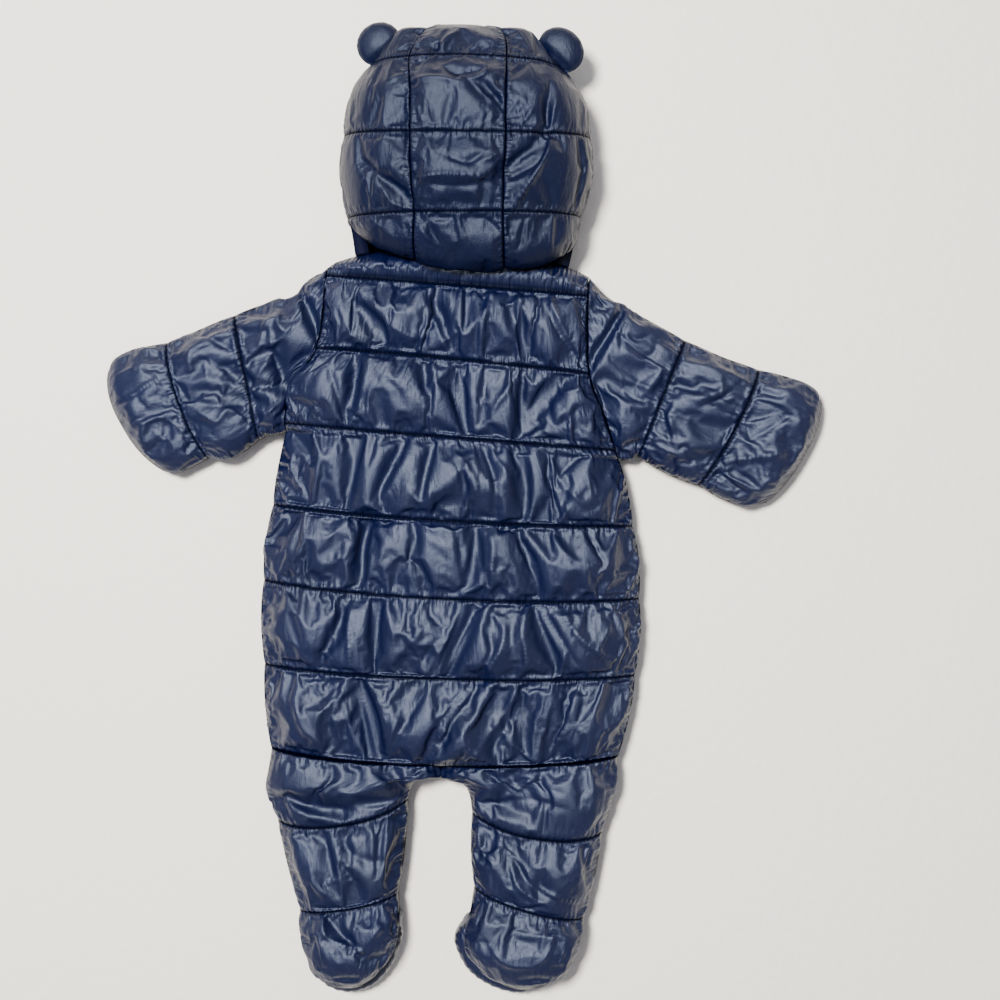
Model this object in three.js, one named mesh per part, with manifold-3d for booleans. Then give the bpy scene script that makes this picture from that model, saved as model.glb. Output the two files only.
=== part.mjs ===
// A baby's quilted and padded snowsuit with a hood, two round ears and closed feet.
// It lies face down on a flat surface: +Z is up out of the back, +Y runs to the head, +X to its right sleeve as seen.
// Sizes are in millimetres. Its panels lie on each other, and the hood stands up as a hollow padded shell.
import * as THREE from "three";
import { mergeVertices } from "three/addons/utils/BufferGeometryUtils.js";
import Module from "manifold-3d";

const wasm = await Module();
wasm.setup();

// Heights of the laid garment
const SEAM_HEIGHT = 20; // side seams, and the plane where the back lies on the front
const SEAM_GAP = 0.3; // between two pieces that are sewn together
const GAP_SHIFT = 0.4; // how far a neighbour is moved to cut that gap
const LAYER_GAP = 0.6; // between the back and front layers of the body
const SLIT = 2; // between the two layers of a sleeve or leg
const UNDER_GROOVE = 4.5; // depth of a stitch line on the underside
const HEM = 3.2; // thickness of a wall where it is sewn flat

// Puff of the padding between two stitch lines, and how far it swells out at a side
const BODY_PUFF = 11;
const SLEEVE_PUFF = 8;
const LEG_PUFF = 9;
const HOOD_PUFF = 6.5;
const BODY_BULGE = 2;
const TUBE_BULGE = 1.6;
const NECK_PUFF = 0.55; // share of it in the short channel at the neck

// Where the armhole ends, counted in stitch lines down from the neck
const ARMHOLE_END = 3.12;
const ARMHOLE_CROWN = 36;

// Zip, a straight line down the middle of the front
const ZIP = { top: [0, 174], bottom: [-12.4, -178.5], gap: 12, edge: 6, roundover: 15 };
const TAPE = { low: 12.4, high: 13.6 };
const CHAIN = { width: 5, low: 9.6, high: 12.1 };
const SLIDER = { width: 9, length: 12, low: 6, high: 9.3, fromTop: 9 };
const BAIL = { width: 3, length: 6.4, high: 3.2, wall: 1.1 };
const PULL = { width: 6.6, length: 26, thick: 1.2, bar: 1, arm: 1.3, windowLength: 4.2, chamfer: 1.6 };

// The body, a row for each stitch line: the two ends in plan, how far the line bows towards the head in the middle,
// and the height of the stitch line there. Half rows only shape the sides.
const BODY = [
  { at: 0, left: [-90, 171], right: [89, 161], bow: 13, crown: 33 },
  { at: 0.4, left: [-93, 166], right: [87.5, 155], bow: 7, crown: 39 },
  { at: 1, left: [-95, 160], right: [87, 146], bow: 0, crown: 40 },
  { at: 2, left: [-102, 110], right: [88, 92], bow: 1, crown: 41 },
  { at: 2.5, left: [-120, 84], right: [98, 65], bow: 0, crown: 41 },
  { at: 3, left: [-125, 58], right: [107, 39], bow: -1, crown: 41 },
  { at: 3.12, left: [-124, 52], right: [109, 32], bow: -1, crown: 41 },
  { at: 4, left: [-133.5, 1], right: [119, -14], bow: -4, crown: 42 },
  { at: 5, left: [-140, -52], right: [123.5, -65], bow: -6, crown: 42 },
  { at: 6, left: [-139.5, -111], right: [120.5, -119], bow: -5, crown: 41 },
  { at: 7, left: [-135, -170], right: [109, -176], bow: -7.5, crown: 39 },
];

// Sleeves from armhole to cuff, with stitch lines at 1 and 2: the two outline points of each row, from shoulder side
// to underarm side, the outward bow, and the crown height
const SLEEVES = {
  left: [
    { at: 0, left: [-90, 171], right: [-124, 52], bow: 0, crown: ARMHOLE_CROWN, seam: 20 },
    { at: 0.3, left: [-107, 158], right: [-131, 51.5], bow: 0, crown: 36, seam: 20 },
    { at: 0.45, left: [-120, 146.5], right: [-134, 51.5], bow: 0, crown: 35.5, seam: 20 },
    { at: 0.65, left: [-134, 143], right: [-138, 51], bow: 0, crown: 35, seam: 20 },
    { at: 1, left: [-161, 134], right: [-144, 47], bow: 0, crown: 33, seam: 20 },
    { at: 1.5, left: [-188, 122], right: [-164, 35], bow: 2.5, crown: 32, seam: 19 },
    { at: 2, left: [-209, 115], right: [-180, 34], bow: 5, crown: 31, seam: 18 },
    { at: 2.6, left: [-232, 108.5], right: [-195, 28], bow: 7, crown: 30, seam: 17 },
    { at: 2.85, left: [-246, 102], right: [-204, 24], bow: 8, crown: 27, seam: 16 },
    { at: 3, left: [-252, 94], right: [-213, 25], bow: 9, crown: 21, seam: 15 },
  ],
  right: [
    { at: 0, left: [89, 161], right: [109, 32], bow: 0, crown: ARMHOLE_CROWN, seam: 20 },
    { at: 0.3, left: [103, 145.5], right: [114, 33], bow: 0, crown: 36, seam: 20 },
    { at: 0.65, left: [127, 131.5], right: [119, 34], bow: 0, crown: 35, seam: 20 },
    { at: 1, left: [156, 116.5], right: [123, 35], bow: 0, crown: 33, seam: 20 },
    { at: 1.5, left: [183, 103.5], right: [143, 25], bow: 2, crown: 32, seam: 19 },
    { at: 2, left: [208, 96], right: [166, 15], bow: 4, crown: 31, seam: 18 },
    { at: 2.6, left: [236.5, 87], right: [187.5, 5], bow: 6, crown: 30, seam: 17 },
    { at: 2.85, left: [249, 80], right: [201, 1], bow: 6.5, crown: 27, seam: 16 },
    { at: 3, left: [254, 72], right: [214.5, 2.5], bow: 6.5, crown: 21, seam: 15 },
  ],
};

// Legs from the seat seam to the foot, with stitch lines at 1 and 2. The underside lifts over the sole at the foot.
const LEGS = {
  left: [
    { at: 0, left: [-135, -170], right: [-16, -181], bow: 0, crown: 39, seam: 20, under: 0 },
    { at: 0.3, left: [-136.5, -186], right: [-17, -190.5], bow: 0, crown: 39, seam: 20, under: 0 },
    { at: 0.5, left: [-137, -196], right: [-33, -193], bow: -2, crown: 39, seam: 20, under: 0 },
    { at: 0.75, left: [-135, -206], right: [-38, -199], bow: -5, crown: 38, seam: 20, under: 0 },
    { at: 1, left: [-130.5, -220.5], right: [-39, -206.5], bow: -9, crown: 37, seam: 20, under: 0 },
    { at: 1.5, left: [-122.5, -252], right: [-43, -245], bow: -6, crown: 37, seam: 20, under: 0 },
    { at: 2, left: [-115, -283.5], right: [-46, -272], bow: -3, crown: 37, seam: 20, under: 0 },
    { at: 2.12, left: [-114.5, -289], right: [-46, -278], bow: -2, crown: 38, seam: 21, under: 0 },
    { at: 2.28, left: [-113.5, -296], right: [-46, -288], bow: -1, crown: 41, seam: 26, under: 23 },
    { at: 2.4, left: [-112, -302], right: [-46.5, -295], bow: -1, crown: 41, seam: 27, under: 23 },
    { at: 2.7, left: [-108, -316], right: [-51, -311], bow: -2, crown: 41, seam: 28, under: 23 },
    { at: 2.88, left: [-103.5, -327], right: [-60, -326], bow: -2, crown: 38, seam: 28, under: 23 },
    { at: 3, left: [-94, -335], right: [-69, -335.5], bow: -2, crown: 31, seam: 27, under: 23.5 },
  ],
  right: [
    { at: 0, left: [-15.4, -181], right: [109, -176], bow: 0, crown: 39, seam: 20, under: 0 },
    { at: 0.3, left: [-14.5, -191], right: [107.5, -190], bow: 0, crown: 39, seam: 20, under: 0 },
    { at: 0.5, left: [0, -195], right: [106, -198], bow: -2, crown: 39, seam: 20, under: 0 },
    { at: 0.75, left: [5.5, -203], right: [103, -211], bow: -5, crown: 38, seam: 20, under: 0 },
    { at: 1, left: [6.5, -216], right: [98, -229.5], bow: -9, crown: 37, seam: 20, under: 0 },
    { at: 1.5, left: [7, -242], right: [91.5, -260], bow: -6.5, crown: 37, seam: 20, under: 0 },
    { at: 2, left: [8, -268], right: [85, -289.5], bow: -4, crown: 37, seam: 20, under: 0 },
    { at: 2.12, left: [7.5, -275], right: [84, -294], bow: -3, crown: 38, seam: 21, under: 0 },
    { at: 2.28, left: [6.5, -284], right: [82.5, -300], bow: -2, crown: 41, seam: 26, under: 23 },
    { at: 2.4, left: [4, -293], right: [81, -304.5], bow: -2, crown: 41, seam: 27, under: 23 },
    { at: 2.7, left: [4, -311], right: [76.5, -316.5], bow: -2, crown: 41, seam: 28, under: 23 },
    { at: 2.88, left: [14, -325.5], right: [69.5, -328.5], bow: -2, crown: 38, seam: 28, under: 23 },
    { at: 3, left: [29, -336], right: [56, -336.5], bow: -2, crown: 31, seam: 27, under: 23.5 },
  ],
};

// Soles, each an oval pad below the foot: outline points in plan
const SOLES = {
  left: [
    [-47, -288], [-43.5, -297], [-43.5, -308], [-50.5, -326], [-63, -339.5], [-79.5, -345], [-95, -341.5],
    [-105, -332], [-109.5, -318], [-109, -304], [-100, -295.5], [-75, -290],
  ],
  right: [
    [8, -290], [-1.5, -296], [-6.5, -306], [-4, -317], [4, -330], [17.5, -339.5], [34, -345], [47, -344.5],
    [60, -338.5], [71, -328], [76.5, -314], [73, -302], [45, -294],
  ],
};
const SOLE = { thick: 22.4, edge: 10 };

// The hood from crown to neck, with stitch lines at 1, 2 and 3: its outline, the two seams of its middle panel,
// the bow and the crown height. The last row is tucked back under the bulge, at the neck seam.
const HOOD = [
  { at: 0, left: [-17, 331.5], right: [15, 331.5], seams: [-8, 6], bow: 1.5, crown: 36 },
  { at: 0.2, left: [-36, 327], right: [35, 327], seams: [-18, 19], bow: 4.5, crown: 49 },
  { at: 0.5, left: [-50, 319.5], right: [52, 318.5], seams: [-28, 29], bow: 2.5, crown: 59 },
  { at: 1, left: [-65, 304.5], right: [70, 302], seams: [-35.5, 30.5], bow: 1.5, crown: 69 },
  { at: 1.5, left: [-77, 282], right: [83, 280], seams: [-34.5, 30], bow: -1, crown: 79 },
  { at: 2, left: [-82.5, 255.5], right: [89, 254], seams: [-34.5, 30], bow: -4.5, crown: 83 },
  { at: 2.5, left: [-84, 229], right: [89.5, 228], seams: [-34, 29], bow: -3, crown: 83 },
  { at: 3, left: [-80, 199], right: [82, 200], seams: [-32.5, 28], bow: -1.5, crown: 77 },
  { at: 3.5, left: [-76.5, 194], right: [77.5, 184], seams: [-32.5, 28.5], bow: -15, crown: 66 },
  { at: 3.8, left: [-74, 192], right: [74, 178], seams: [-32, 29], bow: -20.5, crown: 52.5 },
  { at: 4, left: [-70, 192.5], right: [70, 182], seams: [-31, 29], bow: -11.5, crown: 42 },
];
const HOOD_EDGE = 34; // height of the hood's widest outline
const HOOD_WALL = 9;
const HOOD_HOLLOW = new THREE.Vector3(2, 250, 20); // middle of the space inside
const HOOD_ROOF = 2.5; // the inner face is at least this far below the outer one
const HOOD_STEP = 0.01; // step in u and v that its outward direction is worked out from
const TUCK = { from: 3.2, to: 3.8, wall: 5 }; // where the wall turns in to the neck seam
const HOOD_TOP = 0.1; // its first row, just below the crown's tip
const HOOD_SEAM_GAP = 0.7; // its panels curve, so they need a little more room

// The brim runs round the face opening, from the hood's widest outline in and down to the surface it stands on:
// inset and height of its outer and inner faces
const BRIM = {
  outer: [[0, 33.6], [0.6, 24], [3.5, 13], [9, 4], [14, 0]],
  inner: [[9.5, 33.6], [10.5, 24], [13, 14], [18, 6], [23, 0]],
};
const BRIM_START = [-1, 333]; // its middle, below the crown
const BRIM_END = 3.3; // how far down the outline the brim runs, counted as in the hood
const BRIM_FOOT = { left: [-75, 175], right: [74, 167] }; // its end, at the neck seam
const BRIM_STEPS = 18;

// Ears: middle of the round, its radius across and along, and the turn of its base, in degrees
const EARS = {
  left: { centre: [-57.5, 319], radii: [16.2, 15], turn: 37, height: 44 },
  right: { centre: [70.5, 315.5], radii: [17.3, 15], turn: -46, height: 44 },
};
const EAR = { thick: 9, cut: 8.5, sides: 24 };

// The largest folds, as soft troughs (depth above 0) and ridges (below 0), from one end to the other in plan
const FOLDS = {
  body: [
    { from: [-80, 146], to: [-52, 113], width: 8, depth: 5 },
    { from: [-22, 150], to: [-8, 116], width: 8, depth: 4 },
    { from: [34, 138], to: [49, 100], width: 8, depth: 4 },
    { from: [68, 140], to: [78, 104], width: 6, depth: 3 },
    { from: [-71, 104], to: [-79, 66], width: 6, depth: 4 },
    { from: [-26, 100], to: [-26, 74], width: 6, depth: 3.5 },
    { from: [-3, 98], to: [3, 52], width: 6, depth: 4 },
    { from: [43, 92], to: [40, 45], width: 6, depth: 4 },
    { from: [47, 62], to: [66, 88], width: 7, depth: 3 },
    { from: [-78, 50], to: [-78, 4], width: 7, depth: 4 },
    { from: [-41, 46], to: [-56, 8], width: 8, depth: 4.5 },
    { from: [-23, 44], to: [-26, 16], width: 6, depth: 3 },
    { from: [40, 36], to: [40, -6], width: 7, depth: 4 },
    { from: [74, 30], to: [94, 2], width: 7, depth: -3 },
    { from: [-65, -6], to: [-72, -50], width: 7, depth: 5 },
    { from: [9, -18], to: [5, -46], width: 7, depth: 4 },
    { from: [36, -16], to: [52, -58], width: 8, depth: 4 },
    { from: [-75, -62], to: [-95, -100], width: 8, depth: 4.5 },
    { from: [-60, -68], to: [-60, -108], width: 6, depth: 4 },
    { from: [9, -68], to: [-9, -112], width: 7, depth: 5 },
    { from: [46, -66], to: [71, -114], width: 8, depth: 4 },
    { from: [13, -122], to: [-26, -176], width: 7, depth: 6 },
    { from: [22, -122], to: [-17, -176], width: 6, depth: -3 },
    { from: [-72, -124], to: [-60, -172], width: 8, depth: 4.5 },
    { from: [77, -126], to: [59, -176], width: 8, depth: 4 },
  ],
  sleeves: [
    { from: [-112, 150], to: [-102, 116], width: 4, depth: 5 },
    { from: [-145, 84], to: [-178, 101], width: 7, depth: 4 },
    { from: [-143, 72], to: [-180, 80], width: 7, depth: 4 },
    { from: [-132, 120], to: [-128, 86], width: 7, depth: 4 },
    { from: [-205, 60], to: [-233, 84], width: 8, depth: 3 },
    { from: [114, 142], to: [90, 98], width: 4, depth: 5 },
    { from: [145, 82], to: [180, 84], width: 7, depth: 4 },
    { from: [128, 110], to: [120, 78], width: 7, depth: 4 },
    { from: [150, 30], to: [188, 34], width: 7, depth: 3.5 },
    { from: [196, 58], to: [232, 66], width: 7, depth: 3.5 },
  ],
  legs: [
    { from: [-137, -203], to: [-86, -209], width: 6, depth: 8 },
    { from: [-86, -209], to: [-38, -201], width: 6, depth: 8 },
    { from: [-60, -160], to: [-42, -196], width: 7, depth: 3.5 },
    { from: [-100, -225], to: [-88, -258], width: 9, depth: 3 },
    { from: [-92, -288], to: [-66, -312], width: 8, depth: 3.5 },
    { from: [4, -200], to: [46, -212], width: 6, depth: 6 },
    { from: [14, -222], to: [54, -262], width: 7, depth: 5 },
    { from: [54, -262], to: [84, -283], width: 6, depth: 4 },
    { from: [66, -182], to: [20, -204], width: 8, depth: 3.5 },
    { from: [28, -296], to: [56, -306], width: 8, depth: 3.5 },
  ],
  hood: [
    { from: [57, 286], to: [57, 251], width: 5, depth: 3.5 },
    { from: [55, 247], to: [26, 219], width: 6, depth: 5 },
    { from: [59, 242], to: [33, 199], width: 5, depth: -3 },
    { from: [-58, 230], to: [-33, 200], width: 6, depth: 4.5 },
    { from: [1, 288], to: [31, 262], width: 6, depth: 4 },
    { from: [-30, 196], to: [-10, 173], width: 5, depth: 3.5 },
    { from: [-22, 221], to: [18, 221], width: 6, depth: -2.5 },
  ],
};

const NAVY = 0x1a2148;
const shell = new THREE.MeshStandardMaterial({ color: NAVY, roughness: 0.32 });
const binding = new THREE.MeshStandardMaterial({ color: 0x12172f, roughness: 0.5 });
const zipCloth = new THREE.MeshStandardMaterial({ color: 0x151a36, roughness: 0.8 });
const zipMetal = new THREE.MeshStandardMaterial({ color: 0x2b3050, roughness: 0.4, metalness: 0.6 });

const mix = (a, b, t) => a + (b - a) * t;
const clamp = (x) => Math.min(1, Math.max(0, x));
const smooth = (t) => clamp(t) ** 2 * (3 - 2 * clamp(t));

// A smooth curve through one column of a table, at place v
function column(rows, v, pick) {
  const last = rows.length - 1;
  let k = 0;
  while (k < last - 1 && v > rows[k + 1].at) k++;
  const slope = (i) => {
    const a = rows[Math.max(0, i - 1)];
    const b = rows[Math.min(last, i + 1)];
    return (pick(b) - pick(a)) / (b.at - a.at);
  };
  const span = rows[k + 1].at - rows[k].at;
  const t = clamp((v - rows[k].at) / span);
  const swing = (t ** 3 - 2 * t ** 2 + t) * slope(k) + (t ** 3 - t ** 2) * slope(k + 1);
  return mix(pick(rows[k]), pick(rows[k + 1]), smooth(t)) + span * swing;
}

// Height across a panel, 0 at its two sides and 1 in its middle
const arch = (u) => (1 - Math.abs(2 * clamp(u) - 1) ** 2.5) ** (1 / 2.1);
// The same for an underside that lies flat over most of its width
const flatArch = (u) => Math.min(1, arch(u) * 1.22);
// A stitch line's bow across its width
const bowShape = (u) => 1 - Math.abs(2 * u - 1) ** 2.6;
// Puff between two stitch lines, 0 at a line and 1 halfway
const puff = (v) => Math.abs(Math.sin(Math.PI * v)) ** 0.62;
// Groove of a stitch line on the underside, 1 at the line and 0 over the flat between
const groove = (v) => clamp(1 - Math.abs(Math.sin(Math.PI * v)) * 1.9);

// Depth of the folds at a place in plan
function foldDepth(folds, x, y) {
  let depth = 0;
  for (const { from, to, width, depth: deepest } of folds) {
    const [dx, dy] = [to[0] - from[0], to[1] - from[1]];
    const t = clamp(((x - from[0]) * dx + (y - from[1]) * dy) / (dx * dx + dy * dy));
    const away = Math.hypot(x - from[0] - t * dx, y - from[1] - t * dy);
    depth += deepest * Math.exp(-((away / width) ** 2)) * (0.55 + 0.45 * Math.sin(Math.PI * t));
  }
  return depth;
}

// A closed solid from its grid of outer points and the matching grid of inner points, joined round the rim
function solidBetween(outer, inner) {
  const rows = outer.length;
  const across = outer[0].length;
  const points = [...outer.flat(), ...inner.flat()];
  const at = (layer, j, i) => layer * rows * across + j * across + i;
  const faces = [];
  const quad = (a, b, c, d) => faces.push(a, b, c, a, c, d);
  for (let j = 0; j < rows - 1; j++)
    for (let i = 0; i < across - 1; i++) {
      quad(at(0, j, i), at(0, j + 1, i), at(0, j + 1, i + 1), at(0, j, i + 1));
      quad(at(1, j, i), at(1, j, i + 1), at(1, j + 1, i + 1), at(1, j + 1, i));
    }
  for (let i = 0; i < across - 1; i++) {
    quad(at(0, 0, i), at(0, 0, i + 1), at(1, 0, i + 1), at(1, 0, i));
    quad(at(0, rows - 1, i + 1), at(0, rows - 1, i), at(1, rows - 1, i), at(1, rows - 1, i + 1));
  }
  for (let j = 0; j < rows - 1; j++) {
    quad(at(0, j + 1, 0), at(0, j, 0), at(1, j, 0), at(1, j + 1, 0));
    quad(at(0, j, across - 1), at(0, j + 1, across - 1), at(1, j + 1, across - 1), at(1, j, across - 1));
  }
  return facingOut(points, faces);
}

// A closed solid between a grid of outer points and a flat inner face at one height
function solidOverPlane(outer, height) {
  const rows = outer.length;
  const across = outer[0].length;
  const points = outer.flat();
  const faces = [];
  const quad = (a, b, c, d) => faces.push(a, b, c, a, c, d);
  for (let j = 0; j < rows - 1; j++)
    for (let i = 0; i < across - 1; i++) {
      const a = j * across + i;
      quad(a, a + across, a + across + 1, a + 1);
    }
  const rim = [];
  for (let i = 0; i < across; i++) rim.push(i);
  for (let j = 1; j < rows; j++) rim.push(j * across + across - 1);
  for (let i = across - 2; i >= 0; i--) rim.push((rows - 1) * across + i);
  for (let j = rows - 2; j > 0; j--) rim.push(j * across);
  const first = points.length;
  for (const k of rim) points.push(new THREE.Vector3(points[k].x, points[k].y, height));
  rim.forEach((k, n) => {
    const next = (n + 1) % rim.length;
    quad(k, rim[next], first + next, first + n);
  });
  // The inner face is a ladder from side to side, with a fan to the end rows
  const place = new Map(rim.map((k, n) => [k, first + n]));
  const grid = (j, i) => place.get(j * across + i);
  const [end, side] = [rows - 1, across - 1];
  for (let i = 0; i < side; i++) {
    faces.push(grid(1, 0), grid(0, i), grid(0, i + 1));
    faces.push(grid(end - 1, 0), grid(end, i + 1), grid(end, i));
  }
  faces.push(grid(1, 0), grid(0, side), grid(1, side), grid(end - 1, 0), grid(end - 1, side), grid(end, side));
  for (let j = 1; j < end - 1; j++) quad(grid(j, 0), grid(j, side), grid(j + 1, side), grid(j + 1, 0));
  return facingOut(points, faces);
}

// A closed solid from a stack of rings, with a flat cap at each end
function solidOfRings(rings) {
  const count = rings[0].length;
  const points = rings.flat();
  const faces = [];
  for (let j = 0; j < rings.length - 1; j++)
    for (let i = 0; i < count; i++) {
      const [a, b] = [j * count + i, j * count + ((i + 1) % count)];
      faces.push(a, a + count, b + count, a, b + count, b);
    }
  [0, rings.length - 1].forEach((row, end) => {
    const middle = new THREE.Vector3();
    rings[row].forEach((p) => middle.addScaledVector(p, 1 / count));
    const hub = points.push(middle) - 1;
    for (let i = 0; i < count; i++) {
      const [a, b] = [row * count + i, row * count + ((i + 1) % count)];
      faces.push(hub, end ? b : a, end ? a : b);
    }
  });
  return facingOut(points, faces);
}

// A geometry from points and faces, with its faces turned to point out
function facingOut(points, faces) {
  let volume = 0;
  for (let i = 0; i < faces.length; i += 3) {
    const [a, b, c] = [points[faces[i]], points[faces[i + 1]], points[faces[i + 2]]];
    volume += a.dot(new THREE.Vector3().crossVectors(b, c));
  }
  if (volume < 0)
    for (let i = 0; i < faces.length; i += 3) [faces[i], faces[i + 1]] = [faces[i + 1], faces[i]];
  const geometry = new THREE.BufferGeometry().setFromPoints(points);
  geometry.setIndex(faces);
  return geometry;
}

function toManifold(geometry) {
  const bare = geometry.clone();
  bare.deleteAttribute("normal");
  bare.deleteAttribute("uv");
  const merged = mergeVertices(bare, 1e-4);
  return new wasm.Manifold(
    new wasm.Mesh({
      numProp: 3,
      vertProperties: merged.attributes.position.array,
      triVerts: new Uint32Array(merged.index.array),
    }),
  );
}

function fromManifold(solid) {
  const { vertProperties, triVerts } = solid.getMesh();
  const geometry = new THREE.BufferGeometry();
  geometry.setAttribute("position", new THREE.BufferAttribute(Float32Array.from(vertProperties), 3));
  geometry.setIndex([...triVerts]);
  return geometry;
}

const cutFrom = (geometry, tools) =>
  fromManifold(tools.reduce((left, tool) => left.subtract(toManifold(tool)), toManifold(geometry)));

// What is left of a piece clear of its neighbours, which are also moved a little towards it for the gap
function clearOf(geometry, neighbours, shifts) {
  let solid = toManifold(geometry);
  for (const neighbour of neighbours.map(toManifold))
    for (const shift of [[0, 0, 0], ...shifts]) solid = solid.subtract(neighbour.translate(shift));
  const pieces = solid.decompose();
  return fromManifold(pieces.reduce((best, piece) => (piece.volume() > best.volume() ? piece : best)));
}

// Places across a panel, closer together near its rounded sides
const across = (count) =>
  Array.from({ length: count + 1 }, (_, i) => {
    const t = i / count;
    return mix(t, 0.5 - 0.5 * Math.cos(Math.PI * t), 0.65);
  });

// Places along a panel: each stretch between two stitch lines has the same number of steps
const along = (from, to, steps) =>
  Array.from({ length: Math.round((to - from) * steps) + 1 }, (_, j) => from + j / steps);

// The body in plan, at u across from left to right and stitch line v down
function bodyPlan(u, v) {
  const pick = (side, axis) => column(BODY, v, (row) => row[side][axis]);
  const bow = column(BODY, v, (row) => row.bow);
  return [
    mix(pick("left", 0), pick("right", 0), u),
    mix(pick("left", 1), pick("right", 1), u) + bow * bowShape(u),
  ];
}

// Height of the armhole seam, or of the side seam below it
const bodySideHeight = (v) =>
  v < ARMHOLE_END ? mix(SEAM_HEIGHT, ARMHOLE_CROWN, arch(v / ARMHOLE_END)) : SEAM_HEIGHT;

// The back's outer surface, puffed between its stitch lines
function backPoint(u, v) {
  const [x, y] = bodyPlan(u, v);
  const side = bodySideHeight(v);
  const crown = column(BODY, v, (row) => row.crown);
  const inward = arch(u);
  const swell = BODY_PUFF * puff(v) * (v < 1 ? NECK_PUFF : 1) - foldDepth(FOLDS.body, x, y);
  const height = mix(side, crown, inward) + swell * clamp(inward * 1.3) ** 0.8;
  return new THREE.Vector3(x, y, Math.max(height, SEAM_HEIGHT + HEM));
}

function backPanel() {
  const rows = along(0, 7, 5).map((v) =>
    across(22).map((u) => {
      const inset = u === 0 ? SEAM_GAP / 2 : u === 1 ? -SEAM_GAP / 2 : 0;
      const p = backPoint(u, v);
      const bulge = v > ARMHOLE_END ? BODY_BULGE * puff(v) * (1 - 2 * u) ** 9 : 0;
      p.x += inset - bulge;
      return p;
    }),
  );
  return solidOverPlane(rows, SEAM_HEIGHT + LAYER_GAP / 2);
}

// The zip's middle line at a height y on the plan
const zipX = (y) => mix(ZIP.top[0], ZIP.bottom[0], (ZIP.top[1] - y) / (ZIP.top[1] - ZIP.bottom[1]));

// One front, from the side seam to the zip. Its outer face is down, flat where it rests.
function frontPanel(side) {
  const sign = side === "left" ? -1 : 1;
  const rows = along(0, 7, 5).map((v) =>
    across(12).map((t) => {
      const u = side === "left" ? t / 2 : 1 - t / 2;
      const [sideX] = bodyPlan(side === "left" ? 0 : 1, v);
      const [, y] = bodyPlan(u, v);
      const bulge = v > ARMHOLE_END ? BODY_BULGE * puff(v) * (1 - t) ** 9 : 0;
      const edge = zipX(y) + (sign * ZIP.gap) / 2;
      const x = mix(sideX + sign * (bulge - SEAM_GAP / 2), edge, t);
      const nearZip = smooth(1 - Math.abs(x - edge) / ZIP.roundover) ** 2;
      const nearArm = v < ARMHOLE_END ? clamp(arch(v / ARMHOLE_END) * 1.22) : 0;
      const down = mix(nearArm, 1, flatArch(t / 2)) * Math.min(1, v * 2.4 + 0.45);
      const height =
        SEAM_HEIGHT * (1 - down) + UNDER_GROOVE * groove(v) * down + ZIP.edge * nearZip * down;
      return new THREE.Vector3(x, y, Math.min(height, SEAM_HEIGHT - HEM));
    }),
  );
  return solidOverPlane(rows, SEAM_HEIGHT - LAYER_GAP / 2);
}

// How far a seam's curve stands off the straight line between its ends
function offLine(curve, u) {
  const [a, b, p] = [curve(0), curve(1), curve(u)];
  return [p[0] - mix(a[0], b[0], u), p[1] - mix(a[1], b[1], u)];
}

// Sleeves and legs: a flattened tube of padded cloth. The ring at v runs over the top and back underneath.
function tubeRing(spec, v, counts) {
  const { rows, seam, puffHeight, folds, apart } = spec;
  const pick = (key, axis) => column(rows, v, (row) => (axis === undefined ? row[key] : row[key][axis]));
  const [x0, y0, x1, y1] = [pick("left", 0), pick("left", 1), pick("right", 0), pick("right", 1)];
  const [bow, crown, side] = [pick("bow"), pick("crown"), pick("seam")];
  const under = rows[0].under === undefined ? 0 : Math.max(0, pick("under"));
  const length = Math.hypot(x1 - x0, y1 - y0);
  const outward = spec.outward;
  const fade = v < 1 ? (1 - v) ** 2 : 0;
  const swell = puffHeight * puff(v);
  const ring = [];
  const place = (u, top) => {
    const off = offLine(seam, u);
    const reach = apart * (v === 0 ? 1 : 0) + bow * bowShape(u) * outward.sign;
    const bulge = (TUBE_BULGE * puff(v) * smooth(2 * v) * (2 * u - 1) ** 9) / length;
    const x = mix(x0, x1, u + bulge) + off[0] * fade + reach * outward.x;
    const y = mix(y0, y1, u + bulge) + off[1] * fade + reach * outward.y;
    if (!top) {
      const down = flatArch(u);
      const low = under + UNDER_GROOVE * groove(v) * (under > 1 ? 0 : 1);
      return new THREE.Vector3(x, y, mix(side - HEM / 2, low, down));
    }
    const high = mix(side, crown, arch(u)) + swell * clamp(arch(u) * 1.3) ** 0.8;
    const height = high - foldDepth(folds, x, y) * arch(u);
    return new THREE.Vector3(x, y, Math.max(height, side + HEM / 2));
  };
  const upper = across(counts.top);
  const lower = across(counts.bottom);
  upper.forEach((u) => ring.push(place(u, true)));
  [...lower].reverse().forEach((u) => ring.push(place(u, false)));
  return ring;
}

// The thin hollow between a tube's two layers, as a flat slab that runs out of its open ends
function slitIn(spec, from, to, inset) {
  const left = [];
  const right = [];
  const heights = [];
  for (const v of along(from, to, 4)) {
    const ring = tubeRing(spec, clamp(v / 3) * 3, { top: 8, bottom: 8 });
    const [a, b] = [ring[0].clone(), ring[8].clone()];
    const beyond = v < 0 ? v * 20 : v > 3 ? (v - 3) * 20 : 0;
    const step = new THREE.Vector3(spec.outward.x, spec.outward.y, 0).multiplyScalar(beyond);
    const width = a.distanceTo(b);
    left.push(a.clone().lerp(b, inset / width).add(step));
    right.push(b.clone().lerp(a, inset / width).add(step));
    heights.push(column(spec.rows, v, (row) => row.seam));
  }
  const ring = left.map((p, k) =>
    [
      [p, 1], [right[k], 1], [right[k], -1], [p, -1],
    ].map(([q, up]) => new THREE.Vector3(q.x, q.y, heights[k] + (up * SLIT) / 2)),
  );
  return solidOfRings(ring);
}

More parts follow.
